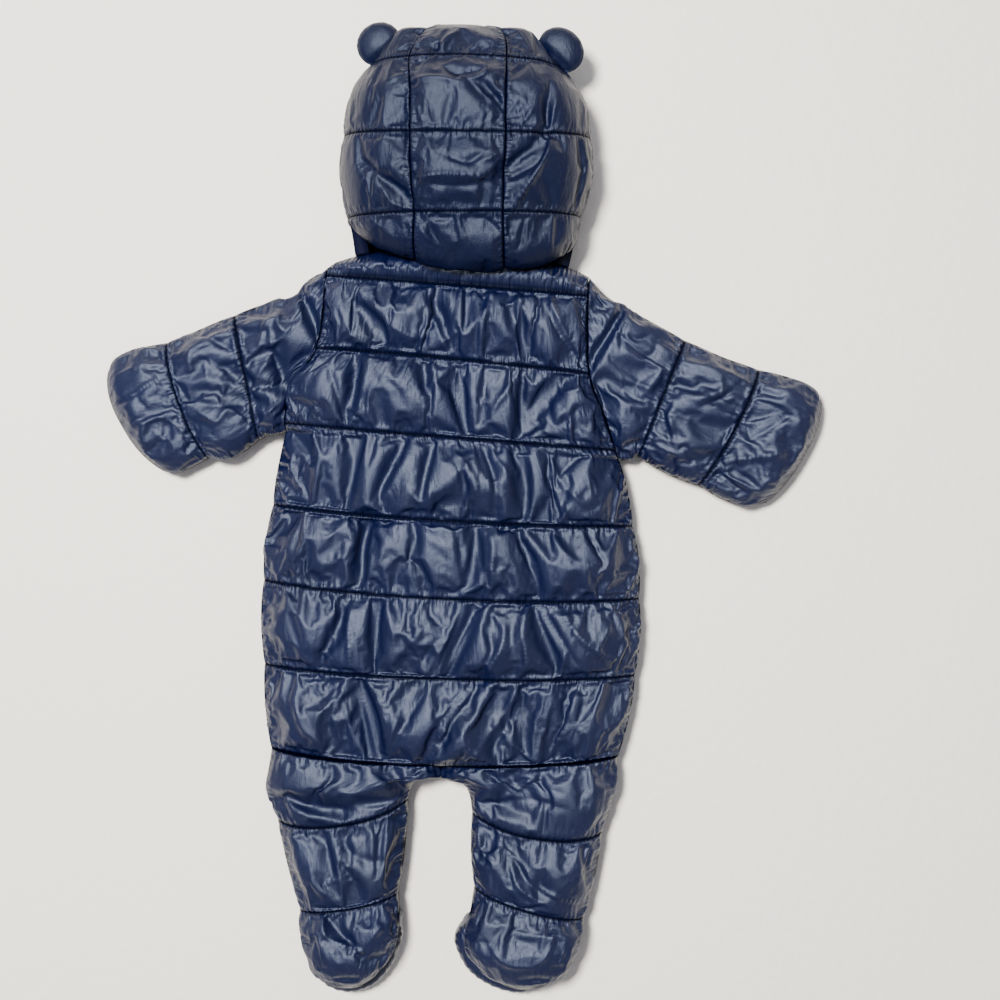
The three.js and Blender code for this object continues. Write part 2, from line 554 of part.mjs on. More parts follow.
function sleeve(side) {
  const sign = side === "left" ? -1 : 1;
  const spec = {
    rows: SLEEVES[side],
    seam: (u) => bodyPlan(side === "left" ? 0 : 1, u * ARMHOLE_END),
    puffHeight: SLEEVE_PUFF,
    folds: FOLDS.sleeves,
    apart: SEAM_GAP,
    outward: { x: sign * 0.93, y: -0.37, sign: 1 },
  };
  const rings = along(0, 3, 5).map((v) => tubeRing(spec, v, { top: 14, bottom: 8 }));
  return cutFrom(solidOfRings(rings), [slitIn(spec, -0.25, 3.25, 7)]);
}

function leg(side) {
  const middle = 0.489;
  const spec = {
    rows: LEGS[side],
    seam: (u) => bodyPlan(side === "left" ? u * middle : middle + u * (1 - middle), 7),
    puffHeight: LEG_PUFF,
    folds: FOLDS.legs,
    apart: SEAM_GAP,
    outward: { x: 0, y: -1, sign: -1 },
  };
  const rows = [...along(0, 2, 6), 2.12, 2.28, 2.4, 2.55, 2.7, 2.8, 2.88, 2.95, 3];
  const rings = rows.map((v) => tubeRing(spec, v, { top: 12, bottom: 8 }));
  return cutFrom(solidOfRings(rings), [slitIn(spec, -0.25, 1.9, 7)]);
}

// A round-edged pad on an outline, from the surface up
function sole(side) {
  const curve = new THREE.CatmullRomCurve3(
    SOLES[side].map(([x, y]) => new THREE.Vector3(x, y, 0)),
    true,
  );
  const outline = curve.getSpacedPoints(30).slice(0, 30);
  const middle = new THREE.Vector3();
  outline.forEach((p) => middle.addScaledVector(p, 1 / outline.length));
  const profile = [
    [0.55, 0], [0.84, 0], [0.95, 3.5], [1, SOLE.edge], [0.98, 16], [0.9, 20.6], [0.6, SOLE.thick],
  ];
  const rings = profile.map(([scale, z]) =>
    outline.map((p) => middle.clone().lerp(p, scale).setZ(z)),
  );
  return solidOfRings(rings);
}

// The hood's outer surface without its puff, at u across and v down
function hoodBase(u, v) {
  const pick = (side, axis) => column(HOOD, v, (row) => row[side][axis]);
  const crown = column(HOOD, v, (row) => row.crown);
  const bow = column(HOOD, v, (row) => row.bow);
  const x = mix(pick("left", 0), pick("right", 0), u);
  const y = mix(pick("left", 1), pick("right", 1), u) + bow * bowShape(u);
  const rise = v > 3 ? mix(1, 1.15, v - 3) : 1;
  return new THREE.Vector3(x, y, mix(HOOD_EDGE, crown, Math.min(1, arch(u) * rise)));
}

// The hood's outward direction at u and v
function hoodNormal(u, v) {
  const [a, b] = [clamp(u - HOOD_STEP), clamp(u + HOOD_STEP)];
  const [c, d] = [Math.max(0, v - HOOD_STEP), Math.min(4, v + HOOD_STEP)];
  const acrossHood = hoodBase(b, v).sub(hoodBase(a, v));
  const downHood = hoodBase(u, d).sub(hoodBase(u, c));
  return new THREE.Vector3().crossVectors(downHood, acrossHood).normalize();
}

// The plain inner face: towards the middle of the hollow, or square to the wall where it tucks in to the neck
function hoodInside(base, out, u, v) {
  const tuck = smooth((v - TUCK.from) / (TUCK.to - TUCK.from));
  const inward = HOOD_HOLLOW.clone().sub(base).normalize();
  inward.lerp(out.clone().negate(), tuck).normalize();
  const plain = base.clone().addScaledVector(inward, mix(HOOD_WALL, TUCK.wall, tuck));
  const roof = u > 0.01 && u < 0.99 && tuck < 0.5 ? base.z - HOOD_ROOF : plain.z;
  plain.z = Math.max(HOOD_EDGE, Math.min(plain.z, roof));
  return plain;
}

// Hood panels lie between these edges: the outline, the two seams and the outline again
const hoodEdges = (v) => {
  const [left, right] = [0, 1].map((u) => hoodBase(u, v).x);
  const seams = [0, 1].map((k) => column(HOOD, v, (row) => row.seams[k]));
  return [0, ...seams.map((x) => (x - left) / (right - left)), 1];
};

function hoodPanel(index, count) {
  const rows = [HOOD_TOP, ...along(0.2, 4, 5)];
  const outer = [];
  const inner = [];
  for (const v of rows) {
    const edges = hoodEdges(v);
    const width = hoodBase(1, v).x - hoodBase(0, v).x;
    const from = edges[index] + (index ? HOOD_SEAM_GAP / 2 / width : 0);
    const to = edges[index + 1] - (index < 2 ? HOOD_SEAM_GAP / 2 / width : 0);
    const places = Array.from({ length: count + 1 }, (_, i) => {
      const t = i / count;
      if (index === 1) return t;
      const rounded = Math.sin((Math.PI / 2) * t);
      return index === 0 ? 1 - mix(1 - t, Math.sin((Math.PI / 2) * (1 - t)), 0.7) : mix(t, rounded, 0.7);
    });
    const line = places.map((t) => {
      const u = mix(from, to, t);
      const base = hoodBase(u, v);
      const out = hoodNormal(u, v);
      const seamSide = index === 1 ? Math.sin(Math.PI * t) : index === 0 ? 1 - t : t;
      const swell = HOOD_PUFF * puff(v) * clamp(seamSide * 2.2) ** 0.6 * clamp(arch(u) * 1.2 + 0.1);
      const depth = foldDepth(FOLDS.hood, base.x, base.y) * arch(u);
      const lifted = base.clone().addScaledVector(out, swell - depth);
      lifted.z = Math.max(lifted.z, HOOD_EDGE);
      return [lifted, hoodInside(base, out, u, v)];
    });
    outer.push(line.map((pair) => pair[0]));
    inner.push(line.map((pair) => pair[1]));
  }
  return solidBetween(outer, inner);
}

// Half of the brim, from the middle of the crown down one side to the neck
function brim(side) {
  const sign = side === "left" ? -1 : 1;
  const path = Array.from({ length: BRIM_STEPS + 1 }, (_, k) => {
    const v = (k / BRIM_STEPS) ** 1.4 * BRIM_END;
    return hoodBase(side === "left" ? 0 : 1, v).setZ(0);
  });
  path.unshift(new THREE.Vector3(BRIM_START[0] + (sign * SEAM_GAP) / 2, BRIM_START[1], 0));
  const foot = new THREE.Vector3(...BRIM_FOOT[side], 0);
  const last = path[path.length - 1];
  for (const t of [0.35, 0.7, 1]) path.push(last.clone().lerp(foot, t));
  const faceOf = (profile) =>
    path.map((p, k) => {
      const before = path[Math.max(0, k - 1)];
      const after = path[Math.min(path.length - 1, k + 1)];
      const run = after.clone().sub(before).normalize();
      const inward =
        k === 0 ? new THREE.Vector3(0, -1, 0) : new THREE.Vector3(run.y, -run.x, 0).multiplyScalar(sign);
      return profile.map(([inset, z]) => p.clone().addScaledVector(inward, inset).setZ(z));
    });
  return solidBetween(faceOf(BRIM.outer), faceOf(BRIM.inner));
}

// An ear: a round pad, cut straight where it is sewn to the hood
function ear(side) {
  const { centre, radii, turn, height } = EARS[side];
  const profile = [[0.5, -1], [0.86, -0.86], [1, 0], [0.86, 0.86], [0.5, 1]];
  const rings = profile.map(([scale, z]) =>
    Array.from({ length: EAR.sides }, (_, k) => {
      const a = (2 * Math.PI * k) / EAR.sides;
      const fromBase = Math.max(radii[1] * scale * Math.sin(a), -EAR.cut);
      return new THREE.Vector3(radii[0] * scale * Math.cos(a), fromBase, (z * EAR.thick) / 2);
    }),
  );
  const geometry = solidOfRings(rings);
  geometry.rotateZ(THREE.MathUtils.degToRad(turn));
  geometry.translate(centre[0], centre[1], height);
  return geometry;
}

// Turns a piece that runs down from the origin onto the zip's line
function alongZip(geometry) {
  const run = new THREE.Vector2(ZIP.bottom[0] - ZIP.top[0], ZIP.bottom[1] - ZIP.top[1]);
  geometry.rotateZ(run.angle() - 1.5 * Math.PI);
  geometry.translate(ZIP.top[0], ZIP.top[1], 0);
  return geometry;
}

// A straight bar along the zip, from one distance below its top to another
function zipBar(from, to, width, low, high) {
  const geometry = new THREE.BoxGeometry(width, to - from, high - low);
  geometry.translate(0, -(from + to) / 2, (low + high) / 2);
  return alongZip(geometry);
}

const ZIP_LENGTH = Math.hypot(ZIP.bottom[0] - ZIP.top[0], ZIP.bottom[1] - ZIP.top[1]);

function zipTape() {
  return zipBar(0, ZIP_LENGTH, ZIP.gap - 2 * SEAM_GAP, TAPE.low, TAPE.high);
}

function zipChain() {
  return zipBar(1, ZIP_LENGTH - 2, CHAIN.width, CHAIN.low, CHAIN.high - SEAM_GAP / 2);
}

// The slider has a low arch below it, and the pull hangs from that arch by its eye
function zipSlider() {
  const { width, length, low, high, fromTop } = SLIDER;
  const plate = zipBar(fromTop, fromTop + length, width, low, high);
  const archFrom = fromTop + (length - BAIL.length) / 2;
  const block = zipBar(archFrom, archFrom + BAIL.length, BAIL.width, low - BAIL.high, low + 0.5);
  const hole = zipBar(
    archFrom + BAIL.wall, archFrom + BAIL.length - BAIL.wall, BAIL.width * 2, low - BAIL.high + BAIL.wall, low,
  );
  return fromManifold(toManifold(plate).add(toManifold(block)).subtract(toManifold(hole)));
}

// The pull is a plate with a window near its end. The bar at the end of the window lies through the bail.
function zipPull() {
  const { width, length, thick, bar, arm, windowLength, chamfer } = PULL;
  const half = width / 2;
  const plate = new THREE.Shape([
    new THREE.Vector2(-half, bar / 2), new THREE.Vector2(half, bar / 2),
    new THREE.Vector2(half, chamfer - length), new THREE.Vector2(half - chamfer, -length),
    new THREE.Vector2(chamfer - half, -length), new THREE.Vector2(-half, chamfer - length),
  ]);
  const inner = half - arm;
  plate.holes.push(
    new THREE.Path([
      new THREE.Vector2(-inner, -bar / 2), new THREE.Vector2(-inner, -windowLength),
      new THREE.Vector2(inner, -windowLength), new THREE.Vector2(inner, -bar / 2),
    ]),
  );
  const geometry = new THREE.ExtrudeGeometry(plate, { depth: thick, bevelEnabled: false });
  const fromTop = SLIDER.fromTop + SLIDER.length / 2;
  const height = SLIDER.low - (BAIL.high - BAIL.wall) / 2;
  geometry.translate(0, -fromTop, height - thick / 2);
  return alongZip(geometry);
}

const part = new THREE.Group();
function add(name, geometry, material) {
  const mesh = new THREE.Mesh(geometry, material);
  mesh.name = name;
  part.add(mesh);
}

const back = backPanel();
const fronts = { left: frontPanel("left"), right: frontPanel("right") };
add("back_panel", back, shell);
add("zip_tape", zipTape(), zipCloth);
add("zip_chain", zipChain(), zipMetal);
add("zip_slider", zipSlider(), zipMetal);
add("zip_pull", zipPull(), zipMetal);
const body = [back, fronts.left, fronts.right];
const legs = {};
for (const side of ["left", "right"]) {
  const outward = side === "left" ? -GAP_SHIFT : GAP_SHIFT;
  add(`front_${side}`, fronts[side], shell);
  add(`sleeve_${side}`, clearOf(sleeve(side), body, [[outward, 0, 0], [outward, -GAP_SHIFT, 0]]), shell);
  const beside = side === "left" ? [] : [legs.left];
  legs[side] = clearOf(leg(side), [...body, ...beside], [[0, -GAP_SHIFT, 0], [GAP_SHIFT, 0, 0]]);
  add(`leg_${side}`, legs[side], shell);
  add(`sole_${side}`, clearOf(sole(side), [legs[side]], [[0, 0, -GAP_SHIFT]]), shell);
}
const hood = [];
for (const [index, count] of [9, 8, 9].entries()) {
  const shifts = [[0, 0, GAP_SHIFT], [0, GAP_SHIFT, 0]];
  hood.push(clearOf(hoodPanel(index, count), [back], shifts));
}
add("hood_side_left", hood[0], shell);
add("hood_middle", hood[1], shell);
add("hood_side_right", hood[2], shell);
for (const side of ["left", "right"]) {
  const outward = side === "left" ? GAP_SHIFT : -GAP_SHIFT;
  add(`hood_brim_${side}`, clearOf(brim(side), [...hood, ...body], [[0, 0, -GAP_SHIFT], [0, GAP_SHIFT, 0]]), binding);
  add(`ear_${side}`, clearOf(ear(side), hood, [[0, GAP_SHIFT, 0], [-outward, GAP_SHIFT, 0]]), shell);
}

// The origin is at the middle of the outline in plan, on the surface
const middle = new THREE.Box3().setFromObject(part).getCenter(new THREE.Vector3());
part.position.set(-middle.x, -middle.y, 0);

export default part;
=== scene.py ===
"""A baby's quilted snowsuit with round ears on its hood, laid face down on a pale textured surface."""

import logging
import math
from collections.abc import Callable, Iterator, Sequence
from contextlib import contextmanager
from dataclasses import dataclass, field, replace
from enum import Enum

import bmesh
import bpy
import numpy as np
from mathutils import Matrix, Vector


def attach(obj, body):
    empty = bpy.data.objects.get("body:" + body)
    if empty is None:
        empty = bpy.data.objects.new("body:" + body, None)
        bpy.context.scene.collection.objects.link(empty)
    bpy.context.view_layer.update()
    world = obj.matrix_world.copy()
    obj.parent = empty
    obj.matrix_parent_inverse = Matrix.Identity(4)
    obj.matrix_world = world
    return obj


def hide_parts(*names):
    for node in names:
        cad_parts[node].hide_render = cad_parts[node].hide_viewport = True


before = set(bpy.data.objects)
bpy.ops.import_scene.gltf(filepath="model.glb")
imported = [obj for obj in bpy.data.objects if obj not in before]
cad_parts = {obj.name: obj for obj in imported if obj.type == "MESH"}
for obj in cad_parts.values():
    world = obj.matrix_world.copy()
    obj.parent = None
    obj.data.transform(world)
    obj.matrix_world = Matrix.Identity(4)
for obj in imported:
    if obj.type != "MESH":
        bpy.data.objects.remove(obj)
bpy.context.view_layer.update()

log = logging.getLogger("snowsuit")

MM = 0.001
BODY = "suit"
SEED = 20

# The laid garment, in millimetres, as in its solids
PLAN_SHIFT = np.array([-0.9628, 4.8103, 0.0])  # moves the plan's tables onto the frame
SEAM_HEIGHT = 20.0
SEAM_GAP = 0.3
LAYER_GAP = 0.6
HEM = 3.2
BODY_PUFF = 11.0
SLEEVE_PUFF = 8.0
LEG_PUFF = 9.0
HOOD_PUFF = 6.5
HOOD_EDGE = 34.0
HOOD_WALL = 9.0
ARMHOLE_END = 3.12
ARMHOLE_CROWN = 36.0
CROTCH = 0.489  # where the seat seam parts into the two legs, from 0 to 1 across it
NECK_PUFF = 0.55  # the share of the body's puff that the channel at the neck has
DRAFT_PUFF = 0.6  # the share of a puff that cloth has before it swells
BACK_DRAFT_PUFF = 0.75
BODY_BULGE = 2.0
TUBE_BULGE = 1.6
UNDER_GROOVE = 4.5
ZIP_TOP = (0.0, 174.0)
ZIP_BOTTOM = (-12.4, -178.5)
ZIP_GAP = 12.0

Points = np.ndarray
Surface = Callable[[np.ndarray, np.ndarray], Points]
Socket = bpy.types.NodeSocket
Colour = tuple[float, float, float, float]


class Side(Enum):
    """A side of the garment as it is seen from above."""

    LEFT = "left"
    RIGHT = "right"

    @property
    def sign(self) -> int:
        """-1 on the left and 1 on the right."""
        return -1 if self is Side.LEFT else 1


@dataclass(frozen=True)
class Line:
    """One row of a piece, across it: its two ends in plan, its bow and its heights, in millimetres."""

    at: float
    left: tuple[float, float]
    right: tuple[float, float]
    bow: float
    crown: float
    seam: float = SEAM_HEIGHT
    under: float = 0.0


@dataclass(frozen=True)
class HoodLine:
    """One row of the hood, with the places of the two seams of its middle panel."""

    at: float
    left: tuple[float, float]
    right: tuple[float, float]
    seams: tuple[float, float]
    bow: float
    crown: float


@dataclass(frozen=True)
class Fold:
    """A large soft trough (depth above 0) or ridge (below 0) between two places in plan."""

    start: tuple[float, float]
    end: tuple[float, float]
    width: float
    depth: float


@dataclass(frozen=True)
class Crease:
    """A narrow crease through places in plan, a ridge (height above 0) or a trough (below 0)."""

    path: tuple[tuple[float, float], ...]
    width: float
    height: float


BODY_LINES = [
    Line(0, (-90, 171), (89, 161), 13, 33),
    Line(0.4, (-93, 166), (87.5, 155), 7, 39),
    Line(1, (-95, 160), (87, 146), 0, 40),
    Line(2, (-102, 110), (88, 92), 1, 41),
    Line(2.5, (-120, 84), (98, 65), 0, 41),
    Line(3, (-125, 58), (107, 39), -1, 41),
    Line(3.12, (-124, 52), (109, 32), -1, 41),
    Line(4, (-133.5, 1), (119, -14), -4, 42),
    Line(5, (-140, -52), (123.5, -65), -6, 42),
    Line(6, (-139.5, -111), (120.5, -119), -5, 41),
    Line(7, (-135, -170), (109, -176), -7.5, 39),
]

SLEEVE_LINES = {
    Side.LEFT: [
        Line(0, (-90, 171), (-124, 52), 0, ARMHOLE_CROWN),
        Line(0.3, (-107, 158), (-131, 51.5), 0, 36),
        Line(0.45, (-120, 146.5), (-134, 51.5), 0, 35.5),
        Line(0.65, (-134, 143), (-138, 51), 0, 35),
        Line(1, (-161, 134), (-144, 47), 0, 33),
        Line(1.5, (-188, 122), (-164, 35), 2.5, 32, 19),
        Line(2, (-209, 115), (-180, 34), 5, 31, 18),
        Line(2.6, (-232, 108.5), (-195, 28), 7, 30, 17),
        Line(2.85, (-246, 102), (-204, 24), 8, 27, 16),
        Line(3, (-252, 94), (-213, 25), 9, 21, 15),
    ],
    Side.RIGHT: [
        Line(0, (89, 161), (109, 32), 0, ARMHOLE_CROWN),
        Line(0.3, (103, 145.5), (114, 33), 0, 36),
        Line(0.65, (127, 131.5), (119, 34), 0, 35),
        Line(1, (156, 116.5), (123, 35), 0, 33),
        Line(1.5, (183, 103.5), (143, 25), 2, 32, 19),
        Line(2, (208, 96), (166, 15), 4, 31, 18),
        Line(2.6, (236.5, 87), (187.5, 5), 6, 30, 17),
        Line(2.85, (249, 80), (201, 1), 6.5, 27, 16),
        Line(3, (254, 72), (214.5, 2.5), 6.5, 21, 15),
    ],
}

LEG_LINES = {
    Side.LEFT: [
        Line(0, (-135, -170), (-16, -181), 0, 39),
        Line(0.3, (-136.5, -186), (-17, -190.5), 0, 39),
        Line(0.5, (-137, -196), (-33, -193), -2, 39),
        Line(0.75, (-135, -206), (-38, -199), -5, 38),
        Line(1, (-130.5, -220.5), (-39, -206.5), -9, 37),
        Line(1.5, (-122.5, -252), (-43, -245), -6, 37),
        Line(2, (-115, -283.5), (-46, -272), -3, 37),
        Line(2.12, (-114.5, -289), (-46, -278), -2, 38, 21),
        Line(2.28, (-113.5, -296), (-46, -288), -1, 41, 26, 23),
        Line(2.4, (-112, -302), (-46.5, -295), -1, 41, 27, 23),
        Line(2.7, (-108, -316), (-51, -311), -2, 41, 28, 23),
        Line(2.88, (-103.5, -327), (-60, -326), -2, 38, 28, 23),
        Line(3, (-94, -335), (-69, -335.5), -2, 31, 27, 23.5),
    ],
    Side.RIGHT: [
        Line(0, (-15.4, -181), (109, -176), 0, 39),
        Line(0.3, (-14.5, -191), (107.5, -190), 0, 39),
        Line(0.5, (0, -195), (106, -198), -2, 39),
        Line(0.75, (5.5, -203), (103, -211), -5, 38),
        Line(1, (6.5, -216), (98, -229.5), -9, 37),
        Line(1.5, (7, -242), (91.5, -260), -6.5, 37),
        Line(2, (8, -268), (85, -289.5), -4, 37),
        Line(2.12, (7.5, -275), (84, -294), -3, 38, 21),
        Line(2.28, (6.5, -284), (82.5, -300), -2, 41, 26, 23),
        Line(2.4, (4, -293), (81, -304.5), -2, 41, 27, 23),
        Line(2.7, (4, -311), (76.5, -316.5), -2, 41, 28, 23),
        Line(2.88, (14, -325.5), (69.5, -328.5), -2, 38, 28, 23),
        Line(3, (29, -336), (56, -336.5), -2, 31, 27, 23.5),
    ],
}

HOOD_LINES = [
    HoodLine(0, (-17, 331.5), (15, 331.5), (-8, 6), 1.5, 36),
    HoodLine(0.2, (-36, 327), (35, 327), (-18, 19), 4.5, 49),
    HoodLine(0.5, (-50, 319.5), (52, 318.5), (-28, 29), 2.5, 59),
    HoodLine(1, (-65, 304.5), (70, 302), (-35.5, 30.5), 1.5, 69),
    HoodLine(1.5, (-77, 282), (83, 280), (-34.5, 30), -1, 79),
    HoodLine(2, (-82.5, 255.5), (89, 254), (-34.5, 30), -4.5, 83),
    HoodLine(2.5, (-84, 229), (89.5, 228), (-34, 29), -3, 83),
    HoodLine(3, (-80, 199), (82, 200), (-32.5, 28), -1.5, 77),
    HoodLine(3.5, (-76.5, 194), (77.5, 184), (-32.5, 28.5), -15, 66),
    HoodLine(3.8, (-74, 192), (74, 178), (-32, 29), -20.5, 52.5),
    HoodLine(4, (-70, 192.5), (70, 182), (-31, 29), -11.5, 42),
]

SOLE_OUTLINES = {
    Side.LEFT: [
        (-47, -288), (-43.5, -297), (-43.5, -308), (-50.5, -326), (-63, -339.5), (-79.5, -345),
        (-95, -341.5), (-105, -332), (-109.5, -318), (-109, -304), (-100, -295.5), (-75, -290),
    ],
    Side.RIGHT: [
        (8, -290), (-1.5, -296), (-6.5, -306), (-4, -317), (4, -330), (17.5, -339.5), (34, -345),
        (47, -344.5), (60, -338.5), (71, -328), (76.5, -314), (73, -302), (45, -294),
    ],
}  # fmt: skip

# Where the brim meets the neck, in plan
BRIM_FEET = {Side.LEFT: (-75.0, 175.0), Side.RIGHT: (74.0, 167.0)}

# The middle of each ear in plan, its radii in millimetres and its turn in degrees
EAR_PLACES = {
    Side.LEFT: ((-57.5, 319.0), (16.2, 15.0), 37),
    Side.RIGHT: ((68.0, 315.0), (17.3, 15.0), -42),
}

BODY_FOLDS = [
    Fold((-80, 146), (-52, 113), 8, 5),
    Fold((-22, 150), (-8, 116), 8, 4),
    Fold((34, 138), (49, 100), 8, 4),
    Fold((68, 140), (78, 104), 6, 3),
    Fold((-71, 104), (-79, 66), 6, 4),
    Fold((-26, 100), (-26, 74), 6, 3.5),
    Fold((-3, 98), (3, 52), 6, 4),
    Fold((43, 92), (40, 45), 6, 4),
    Fold((47, 62), (66, 88), 7, 3),
    Fold((-78, 50), (-78, 4), 7, 4),
    Fold((-41, 46), (-56, 8), 8, 4.5),
    Fold((-23, 44), (-26, 16), 6, 3),
    Fold((40, 36), (40, -6), 7, 4),
    Fold((74, 30), (94, 2), 7, -3),
    Fold((-65, -6), (-72, -50), 7, 5),
    Fold((9, -18), (5, -46), 7, 4),
    Fold((36, -16), (52, -58), 8, 4),
    Fold((-75, -62), (-95, -100), 8, 4.5),
    Fold((-60, -68), (-60, -108), 6, 4),
    Fold((9, -68), (-9, -112), 7, 5),
    Fold((46, -66), (71, -114), 8, 4),
    Fold((13, -122), (-26, -176), 7, 6),
    Fold((22, -122), (-17, -176), 6, -3),
    Fold((-72, -124), (-60, -172), 8, 4.5),
    Fold((77, -126), (59, -176), 8, 4),
]

SLEEVE_FOLDS = [
    Fold((-112, 150), (-102, 116), 4, 5),
    Fold((-145, 84), (-178, 101), 7, 4),
    Fold((-143, 72), (-180, 80), 7, 4),
    Fold((-132, 120), (-128, 86), 7, 4),
    Fold((-205, 60), (-233, 84), 8, 3),
    Fold((114, 142), (90, 98), 4, 5),
    Fold((145, 82), (180, 84), 7, 4),
    Fold((128, 110), (120, 78), 7, 4),
    Fold((150, 30), (188, 34), 7, 3.5),
    Fold((196, 58), (232, 66), 7, 3.5),
]

LEG_FOLDS = [
    Fold((-137, -203), (-86, -209), 6, 8),
    Fold((-86, -209), (-38, -201), 6, 8),
    Fold((-60, -160), (-42, -196), 7, 3.5),
    Fold((-100, -225), (-88, -258), 9, 3),
    Fold((-92, -288), (-66, -312), 8, 3.5),
    Fold((4, -200), (46, -212), 6, 6),
    Fold((14, -222), (54, -262), 7, 5),
    Fold((54, -262), (84, -283), 6, 4),
    Fold((66, -182), (20, -204), 8, 3.5),
    Fold((28, -296), (56, -306), 8, 3.5),
]

HOOD_FOLDS = [
    Fold((57, 286), (57, 251), 5, 3.5),
    Fold((55, 247), (26, 219), 6, 5),
    Fold((59, 242), (33, 199), 5, -3),
    Fold((-58, 230), (-33, 200), 6, 4.5),
    Fold((1, 288), (31, 262), 6, 4),
    Fold((-30, 196), (-10, 173), 5, 3.5),
    Fold((-22, 221), (18, 221), 6, -2.5),
]


